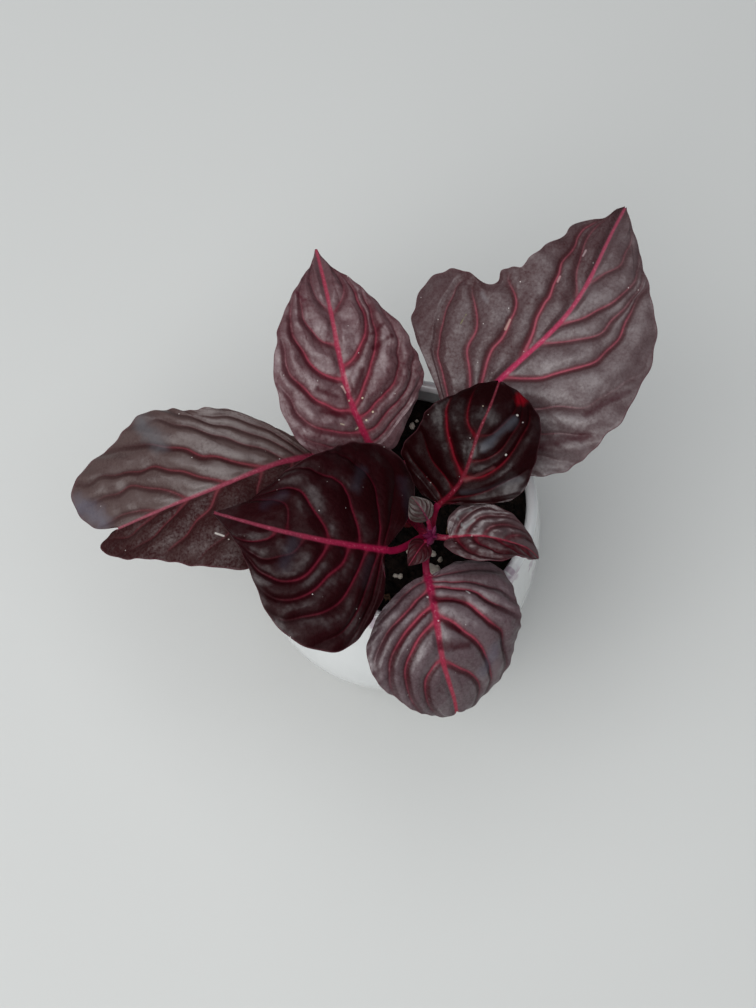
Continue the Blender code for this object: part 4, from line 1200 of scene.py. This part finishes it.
def stem_finish(look):
    """Red young bark with fine lengthways streaks, darker blotches, a brown foot and a magenta tip."""
    paint = Finish("stem_finish")
    place = paint.place()
    stretched = paint.node("ShaderNodeMapping", inputs={"Vector": place, "Scale": (1.0, 1.0, 0.22)})
    streak = paint.noise(stretched, 0.5, 3.0)
    blotch = paint.noise(place, 3.0, 2.0)
    height = paint.parts(place)[2] / MM
    skin = paint.blend(streak.eased(0.35, 0.65), look.stalk, (0.30, 0.005, 0.04))
    skin = paint.blend(blotch.eased(0.5, 0.8) * 0.5, skin, look.old_stem)
    skin = paint.blend(height.eased(106.0, 108.2), skin, look.bud)
    skin = paint.blend(height.eased(82.0, 76.0) * 0.6, skin, (0.10, 0.035, 0.022))
    relief = streak * 0.6 + paint.noise(place, 0.25, 2.0) * 0.4
    paint.set(Base_Color=skin, Roughness=0.36 + streak * 0.16, Specular_IOR_Level=0.3,
              Normal=paint.bump(relief, 0.10, 0.8))
    return paint


def pot_outer(height):
    """The pot's outer radius at a height: two bulges that meet at the belly."""
    below = np.clip((BELLY_HEIGHT - height) / BELLY_HEIGHT, 0.0, 1.0)**LOWER_BULGE
    above = np.clip((height - BELLY_HEIGHT) / (RIM_HEIGHT - BELLY_HEIGHT), 0.0, 1.0)**UPPER_BULGE
    return BELLY_RADIUS - (BELLY_RADIUS - FOOT_RADIUS) * below - (BELLY_RADIUS - RIM_RADIUS) * above


def pot_profile():
    """The wall's section as (radius, height), from the inner floor up, over the lip and down."""
    lip = POT_WALL / 2
    lip_height = RIM_HEIGHT - lip
    inside = np.concatenate([np.linspace(POT_FLOOR + 3.0, SOIL_LEVEL - 6.0, 12),
                             np.linspace(SOIL_LEVEL - 5.0, lip_height, 26)])
    inner = np.stack([pot_outer(inside) - POT_WALL, inside], -1)
    turn = np.linspace(np.pi, 0.0, 26)[1:-1]
    middle = pot_outer(lip_height) - lip
    rolled = np.stack([middle + lip * np.cos(turn), lip_height + lip * np.sin(turn)], -1)
    outside = np.concatenate([np.linspace(lip_height, 4.0, 84), np.linspace(3.4, FOOT_CHAMFER, 6)])
    outer = np.stack([pot_outer(outside), outside], -1)
    turn = np.linspace(0.0, np.pi / 2, 8)[1:]
    foot = pot_outer(np.array(FOOT_CHAMFER)) - FOOT_CHAMFER
    heel = np.stack([foot + FOOT_CHAMFER * np.cos(turn), FOOT_CHAMFER * (1.0 - np.sin(turn))], -1)
    base = np.stack([np.linspace(foot - 1.0, 2.0, 10), np.zeros(10)], -1)
    floor = np.stack([np.linspace(2.0, inner[0, 0] - 5.0, 6), np.full(6, POT_FLOOR)], -1)
    return np.concatenate([floor, inner, rolled, outer, heel, base])


def make_pot(look):
    """The turned pot with a faint hand-made waver, charted by distance round and height."""
    profile = pot_profile()

    def waver(turn, height):
        share = np.clip(height / RIM_HEIGHT, 0.0, 1.0) * np.clip((RIM_HEIGHT - height) / 30.0, 0.0, 1.0)
        waves = np.sin(2 * turn + 0.6 + height * 0.03) + 0.5 * np.sin(5 * turn - height * 0.05)
        return 0.10 * share * waves

    heights = profile[:, 1:]
    radii = profile[:, :1] + waver(full_turn(look.sides), heights)
    ends = [[0.0, 0.0, POT_FLOOR], [0.0, 0.0, 0.0]]
    points, walls, caps = closed(level_rings(radii, heights, look.sides), ends, True)
    around = np.linspace(0.0, 2 * np.pi * BELLY_RADIUS, look.sides + 1)
    values = np.stack(np.broadcast_arrays(around[None, :], profile[:, 1:]), -1)
    chart = [quad_chart(values, True)] + [np.zeros((len(cap), 3, 2)) for cap in caps]
    return new_piece("glazed_pot", points, walls + caps, pot_finish(look), ("pot",), chart)


def pot_finish(look):
    """White glaze with a few small five-lobed mauve petals scattered by cells of the chart, faint
    speckles, and a bare foot."""
    paint = Finish("pot_finish")
    place = paint.place()
    around, height = paint.chart("chart")
    flat = paint.node("ShaderNodeCombineXYZ", inputs={0: around, 1: height})
    cell = {"Vector": flat, "Scale": 1.0 / 17.0, "Randomness": 0.85}
    centre = paint.node("ShaderNodeTexVoronoi", {"voronoi_dimensions": "2D"}, cell, "Position")
    chance = paint.node("ShaderNodeTexVoronoi", {"voronoi_dimensions": "2D"}, cell, "Color")
    chance = paint.parts(chance)[0]
    across, upward, _ = paint.parts(paint.vector("SUBTRACT", flat, centre))
    radius = (across * across + upward * upward).math("SQRT")
    angle = upward.math("ARCTAN2", across)
    lobes = abs((angle * 2.5 + chance * 6.0).math("COSINE"))
    reach = (0.45 + lobes * 0.55) * (look.petal_size / MM) * (0.6 + chance * 0.6)
    soft = paint.noise(place, 2.2, 2.0)
    blossom = (radius / reach + (soft - 0.5) * 0.5).eased(1.05, 0.55) * (chance > 0.56)
    speckle = paint.cells(place, 2.4).eased(0.12, 0.05) * 0.10
    cloud = paint.noise(place, 22.0, 2.0)
    glaze = paint.blend(cloud.eased(0.35, 0.7) * 0.22, look.glaze, (0.66, 0.69, 0.70))
    glaze = paint.blend(speckle, glaze, (0.35, 0.33, 0.32))
    glaze = paint.blend(blossom * 0.75, glaze, look.petal)
    bare = height.eased(1.5, 0.9)
    grit = paint.noise(place, 0.5, 3.0)
    glaze = paint.blend(bare, glaze, look.biscuit)
    relief = (1.0 - bare) * paint.noise(place, 1.6, 1.0) * 0.35 + bare * grit
    paint.set(Base_Color=glaze, Roughness=0.13 + bare * 0.6 + cloud * 0.05, Specular_IOR_Level=0.5,
              Coat_Weight=(1.0 - bare) * 0.5, Coat_Roughness=0.06,
              Normal=paint.bump(relief, 0.08, 0.5))
    return paint


def mounds(places, centres, radii):
    """The height of overlapping round lumps: at each place the highest of the half balls there."""
    height = np.zeros(len(places))
    for start in range(0, len(places), 4000):
        block = places[start:start + 4000]
        gap = ((block[:, None, :] - centres[None]) ** 2).sum(-1)
        ball = np.sqrt(np.maximum(radii[None]**2 - gap, 0.0))
        height[start:start + 4000] = ball.max(1)
    return height


def make_soil(look):
    """The potting mix: rings from the stem out to the pot's wall, heaped with half-buried lumps.
    Gives the points of its top."""
    rng = np.random.default_rng(11)
    start = STEM_RADIUS - 0.3
    edge = pot_outer(np.array(SOIL_LEVEL)) - POT_WALL - 0.15
    shares = np.linspace(0.0, 1.0, SOIL_RINGS)[:, None]
    turn = full_turn(SOIL_SIDES)
    radii = start + (edge - start) * shares
    xs = STEM_FOOT[0] * (1 - shares) + radii * np.cos(turn)
    ys = STEM_FOOT[1] * (1 - shares) + radii * np.sin(turn)
    spread = edge * np.sqrt(rng.uniform(0, 1, LUMPS))
    bearing = rng.uniform(0, 2 * np.pi, LUMPS)
    centres = np.stack([spread * np.cos(bearing), spread * np.sin(bearing)], -1)
    places = np.stack([xs.ravel(), ys.ravel()], -1)
    lumps = mounds(places, centres, rng.uniform(*LUMP_RADII, LUMPS)).reshape(xs.shape)
    flat = np.stack([xs, ys, np.zeros_like(xs)], -1)
    heights = SOIL_LEVEL - 1.6 + SOIL_DOME * (0.5 - shares**2) + lumps * 0.8
    heights += 0.25 * ripples(flat, 6.0, 4) + 0.12 * ripples(flat, 1.3, 5)
    heights[-1] = SOIL_LEVEL - 1.2
    top = np.stack([xs, ys, heights], -1)
    wall = np.linspace(SOIL_LEVEL - 3.0, POT_FLOOR + 3.3, 8)[:, None]
    side = level_rings(pot_outer(wall) - POT_WALL - 0.3, wall, SOIL_SIDES)
    ends = [[*STEM_FOOT, SOIL_LEVEL - 2.0], [0.0, 0.0, POT_FLOOR + 3.3]]
    points, walls, caps = closed(np.concatenate([top, side]), ends, True)
    new_piece("potting_mix_top", points, walls + caps, soil_finish(look), ("soil",))
    return top


def ball(rows=5, sides=8):
    """A small closed ball of a few faces: rings between two poles. Gives points and faces."""
    tilt = np.linspace(0.0, np.pi, rows + 2)[1:-1, None]
    rings = level_rings(np.sin(tilt), np.cos(tilt), sides)
    points, walls, caps = closed(rings, [[0.0, 0.0, 1.0], [0.0, 0.0, -1.0]], True)
    return points, walls[0], np.concatenate(caps)


def scattered(centres, sizes, squash, seed, roughness):
    """Many small lumps: one ball with each copy's points pushed in and out, squashed and turned."""
    rng = np.random.default_rng(seed)
    points, *faces = ball()
    count, size = len(centres), len(points)
    push = 1.0 + roughness * rng.uniform(-1.0, 1.0, (count, size, 1))
    shape = points[None] * push * rng.uniform(0.75, 1.25, (count, 1, 3)) * np.array(squash)
    spin = rng.uniform(0, 2 * np.pi, count)
    tip = rng.uniform(-0.5, 0.5, count)
    cos, sin = np.cos(spin), np.sin(spin)
    zero, one = np.zeros(count), np.ones(count)
    about_z = np.stack([cos, -sin, zero, sin, cos, zero, zero, zero, one], -1).reshape(-1, 3, 3)
    cos, sin = np.cos(tip), np.sin(tip)
    about_x = np.stack([one, zero, zero, zero, cos, -sin, zero, sin, cos], -1).reshape(-1, 3, 3)
    turned_shape = np.einsum("nij,njk,nvk->nvi", about_z, about_x, shape)
    placed = turned_shape * np.asarray(sizes)[:, None, None] + np.asarray(centres)[:, None, :]
    starts = (np.arange(count) * size)[:, None, None]
    return placed.reshape(-1, 3), [(group + starts).reshape(-1, group.shape[1]) for group in faces]


def on_soil(top, count, seed):
    """Seeded places on the potting mix's top."""
    rng = np.random.default_rng(seed)
    rows = (np.sqrt(rng.uniform(0.03, 1.0, count)) * (len(top) - 3)).astype(int)
    return top[rows, rng.integers(0, top.shape[1], count)]


def nearest_on_soil(top, places):
    """The points of the top that lie nearest to the given places across."""
    flat = top.reshape(-1, 3)
    gap = ((flat[None, :, :2] - np.asarray(places, float)[:, None, :2])**2).sum(-1)
    return flat[gap.argmin(1)]


def make_grains(top, look):
    """Peat crumbs, white perlite grains and flat bark crumbs on the potting mix."""
    rng = np.random.default_rng(21)
    kinds = (
        ("peat_crumbs", look.crumbs, (0.35, 1.15), (1, 1, 0.8), 0.22, 0.2, (), soil_finish),
        ("perlite_grains", look.grains, (0.4, 1.3), (1, 1, 0.85), 0.3, 0.25, SEEN_PERLITE, perlite_finish),
        ("bark_crumbs", BARK_CRUMBS, (0.8, 2.0), (1.3, 0.8, 0.32), 0.22, 0.3, SEEN_BARK, bark_finish),
    )
    for seed, (name, count, span, squash, roughness, lift, seen, finish) in zip((22, 24, 26), kinds):
        places, sizes = on_soil(top, count, seed), rng.uniform(*span, count)
        if seen:
            places = np.concatenate([places, nearest_on_soil(top, seen)])
            sizes = np.concatenate([sizes, [grain[2] for grain in seen]])
        points, faces = scattered(places + UP * lift, sizes, squash, seed + 1, roughness)
        new_piece(name, points, faces, finish(look), ())


def soil_finish(look):
    """Moist near-black peat with brown fibres."""
    paint = Finish("peat_finish")
    place = paint.place()
    clump = paint.noise(place, 1.8, 4.0)
    fibre = paint.noise(place, 0.4, 3.0, 0.6, 1.5)
    skin = paint.blend(clump.eased(0.35, 0.75) * 0.8, look.peat, (0.018, 0.011, 0.008))
    skin = paint.blend(fibre.eased(0.62, 0.75) * 0.4, skin, (0.055, 0.033, 0.020))
    paint.set(Base_Color=skin, Roughness=0.75 + clump * 0.2, Specular_IOR_Level=0.12,
              Normal=paint.bump(clump + fibre * 0.6, 0.5, 0.9))
    return paint


def perlite_finish(look):
    """Chalky white grains with small pits."""
    paint = Finish("perlite_finish")
    place = paint.place()
    pit = paint.cells(place, 0.45).eased(0.0, 0.5)
    stain = paint.noise(place, 2.5, 2.0)
    skin = paint.blend(stain.eased(0.4, 0.75) * 0.6, look.perlite, (0.30, 0.25, 0.18))
    paint.set(Base_Color=paint.blend((1.0 - pit) * 0.35, skin, (0.20, 0.17, 0.13)), Roughness=0.85,
              Normal=paint.bump(pit, 0.15, 0.8))
    return paint


def bark_finish(look):
    """Fibrous tan and brown bark."""
    paint = Finish("bark_finish")
    place = paint.place()
    fibre = paint.noise(place, 0.6, 4.0, 0.6, 0.8)
    skin = paint.blend(fibre.eased(0.35, 0.7), look.bark, (0.05, 0.026, 0.014))
    paint.set(Base_Color=skin, Roughness=0.72 + fibre * 0.2, Normal=paint.bump(fibre, 0.3, 0.9))
    return paint


def floor_finish(look):
    """A plain pale matt floor."""
    paint = Finish("floor_finish")
    tone = paint.noise(paint.place(), 240.0, 2.0)
    darker = tuple(0.96 * part for part in look.floor)
    paint.set(Base_Color=paint.blend(tone, look.floor, darker), Roughness=0.8, Specular_IOR_Level=0.2)
    return paint


def make_floor(look):
    """A square floor just under the pot, as a grid of two parameters."""
    side = np.linspace(-FLOOR_REACH, FLOOR_REACH, FLOOR_POINTS)
    xs, ys = np.meshgrid(side, side, indexing="ij")
    points = np.stack([xs, ys, np.full_like(xs, -FLOOR_DROP)], -1).reshape(-1, 3)
    faces = quads(np.arange(len(points)).reshape(xs.shape), True)
    mesh = bpy.data.meshes.new("floor")
    mesh.from_pydata(points.tolist(), [], faces.tolist())
    mesh.materials.append(floor_finish(look).material)
    obj = bpy.data.objects.new("floor", mesh)
    bpy.context.scene.collection.objects.link(obj)


def make_panel(name, panel, power, tone):
    """A square area light that faces the plant."""
    place, size = panel
    light = bpy.data.lights.new(name, "AREA")
    light.shape = "SQUARE"
    light.size = size
    light.energy = power
    light.color = tone
    obj = bpy.data.objects.new(name, light)
    back = Vector(place) - Vector(PANEL_AIM)
    obj.matrix_world = Matrix.Translation(place) @ back.to_track_quat("Z", "Y").to_matrix().to_4x4()
    bpy.context.scene.collection.objects.link(obj)


def make_world(look):
    world = bpy.data.worlds.new("studio")
    world.use_nodes = True
    sky = world.node_tree.nodes["Background"]
    sky.inputs["Color"].default_value = (*look.sky, 1.0)
    sky.inputs["Strength"].default_value = look.sky_strength
    bpy.context.scene.world = world


def make_camera(look):
    """The camera at the photograph's angle."""
    camera = bpy.data.cameras.new("camera")
    camera.sensor_width = SENSOR_WIDTH
    camera.lens = look.lens
    camera.clip_start, camera.clip_end = 0.01, 50.0
    obj = bpy.data.objects.new("camera", camera)
    tilt = Matrix.Rotation(math.radians(CAMERA_TILT), 4, "X")
    roll = Matrix.Rotation(math.radians(CAMERA_ROLL), 4, "Z")
    obj.matrix_world = Matrix.Translation(CAMERA_PLACE) @ tilt @ roll
    bpy.context.scene.collection.objects.link(obj)
    bpy.context.scene.camera = obj


class BLOODLEAF_OT_open_leaves(bpy.types.Operator):
    """Grows the seven open leaves with their stalks"""

    bl_idname = "bloodleaf.open_leaves"
    bl_label = "Open leaves"

    def execute(self, context):
        look = context.scene.bloodleaf_leaves
        for blade in OPEN_BLADES:
            make_blade(blade, look, look.spacing / MM)
        return {"FINISHED"}


class BLOODLEAF_OT_young_leaves(bpy.types.Operator):
    """Grows the two folded young leaves at the tip"""

    bl_idname = "bloodleaf.young_leaves"
    bl_label = "Young leaves"

    def execute(self, context):
        look = context.scene.bloodleaf_leaves
        for blade in YOUNG_BLADES:
            make_blade(blade, look, look.spacing / MM * 0.4, 0.8)
        return {"FINISHED"}


class BLOODLEAF_OT_stem(bpy.types.Operator):
    """Grows the stem, its two shoots and the stubs of the stalks"""

    bl_idname = "bloodleaf.stem"
    bl_label = "Stem"

    def execute(self, context):
        points, faces = gathered(stem_shapes())
        look = context.scene.bloodleaf_leaves
        new_piece("red_stem", points, faces, stem_finish(look), ("stem",))
        return {"FINISHED"}


class BLOODLEAF_OT_pot(bpy.types.Operator):
    """Turns the glazed pot"""

    bl_idname = "bloodleaf.pot"
    bl_label = "Pot"

    def execute(self, context):
        make_pot(context.scene.bloodleaf_pot)
        return {"FINISHED"}


class BLOODLEAF_OT_potting_mix(bpy.types.Operator):
    """Fills the pot with potting mix, crumbs and grains"""

    bl_idname = "bloodleaf.potting_mix"
    bl_label = "Potting mix"

    def execute(self, context):
        look = context.scene.bloodleaf_pot
        make_grains(make_soil(look), look)
        return {"FINISHED"}


class BLOODLEAF_OT_stage(bpy.types.Operator):
    """Sets the floor, the lights and the camera"""

    bl_idname = "bloodleaf.stage"
    bl_label = "Stage"

    def execute(self, context):
        look = context.scene.bloodleaf_stage
        make_floor(look)
        make_world(look)
        make_panel("panel_front", FRONT_PANEL, look.front_power, (1.0, 0.99, 0.97))
        make_panel("panel_overhead", OVERHEAD_PANEL, look.over_power, (0.96, 0.98, 1.0))
        make_camera(look)
        context.scene.view_settings.view_transform = "Standard"
        return {"FINISHED"}


class BLOODLEAF_PT_sidebar(bpy.types.Panel):
    """Lists the settings and the operators in the 3D view's sidebar"""

    bl_idname = "BLOODLEAF_PT_sidebar"
    bl_label = "Bloodleaf"
    bl_space_type = "VIEW_3D"
    bl_region_type = "UI"
    bl_category = "Bloodleaf"

    def draw(self, context):
        for group, names in SIDEBAR:
            box = self.layout.box()
            settings = getattr(context.scene, group)
            for key in settings.bl_rna.properties.keys():
                if key not in ("rna_type", "name"):
                    box.prop(settings, key)
            for name in names:
                box.operator("bloodleaf." + name)


SIDEBAR = (
    ("bloodleaf_leaves", ("open_leaves", "young_leaves", "stem")),
    ("bloodleaf_pot", ("pot", "potting_mix")),
    ("bloodleaf_stage", ("stage",)),
)

GROUPS = {
    "bloodleaf_leaves": BloodleafLeafSettings,
    "bloodleaf_pot": BloodleafPotSettings,
    "bloodleaf_stage": BloodleafStageSettings,
}

CLASSES = (
    BloodleafLeafSettings,
    BloodleafPotSettings,
    BloodleafStageSettings,
    BLOODLEAF_OT_open_leaves,
    BLOODLEAF_OT_young_leaves,
    BLOODLEAF_OT_stem,
    BLOODLEAF_OT_pot,
    BLOODLEAF_OT_potting_mix,
    BLOODLEAF_OT_stage,
    BLOODLEAF_PT_sidebar,
)


def register():
    for item in CLASSES:
        bpy.utils.register_class(item)
    for name, group in GROUPS.items():
        setattr(bpy.types.Scene, name, PointerProperty(type=group))


def unregister():
    for name in GROUPS:
        delattr(bpy.types.Scene, name)
    for item in reversed(CLASSES):
        bpy.utils.unregister_class(item)


def main():
    register()
    bpy.ops.bloodleaf.pot()
    bpy.ops.bloodleaf.potting_mix()
    bpy.ops.bloodleaf.stem()
    bpy.ops.bloodleaf.open_leaves()
    bpy.ops.bloodleaf.young_leaves()
    bpy.ops.bloodleaf.stage()


if __name__ == "__main__":
    main()
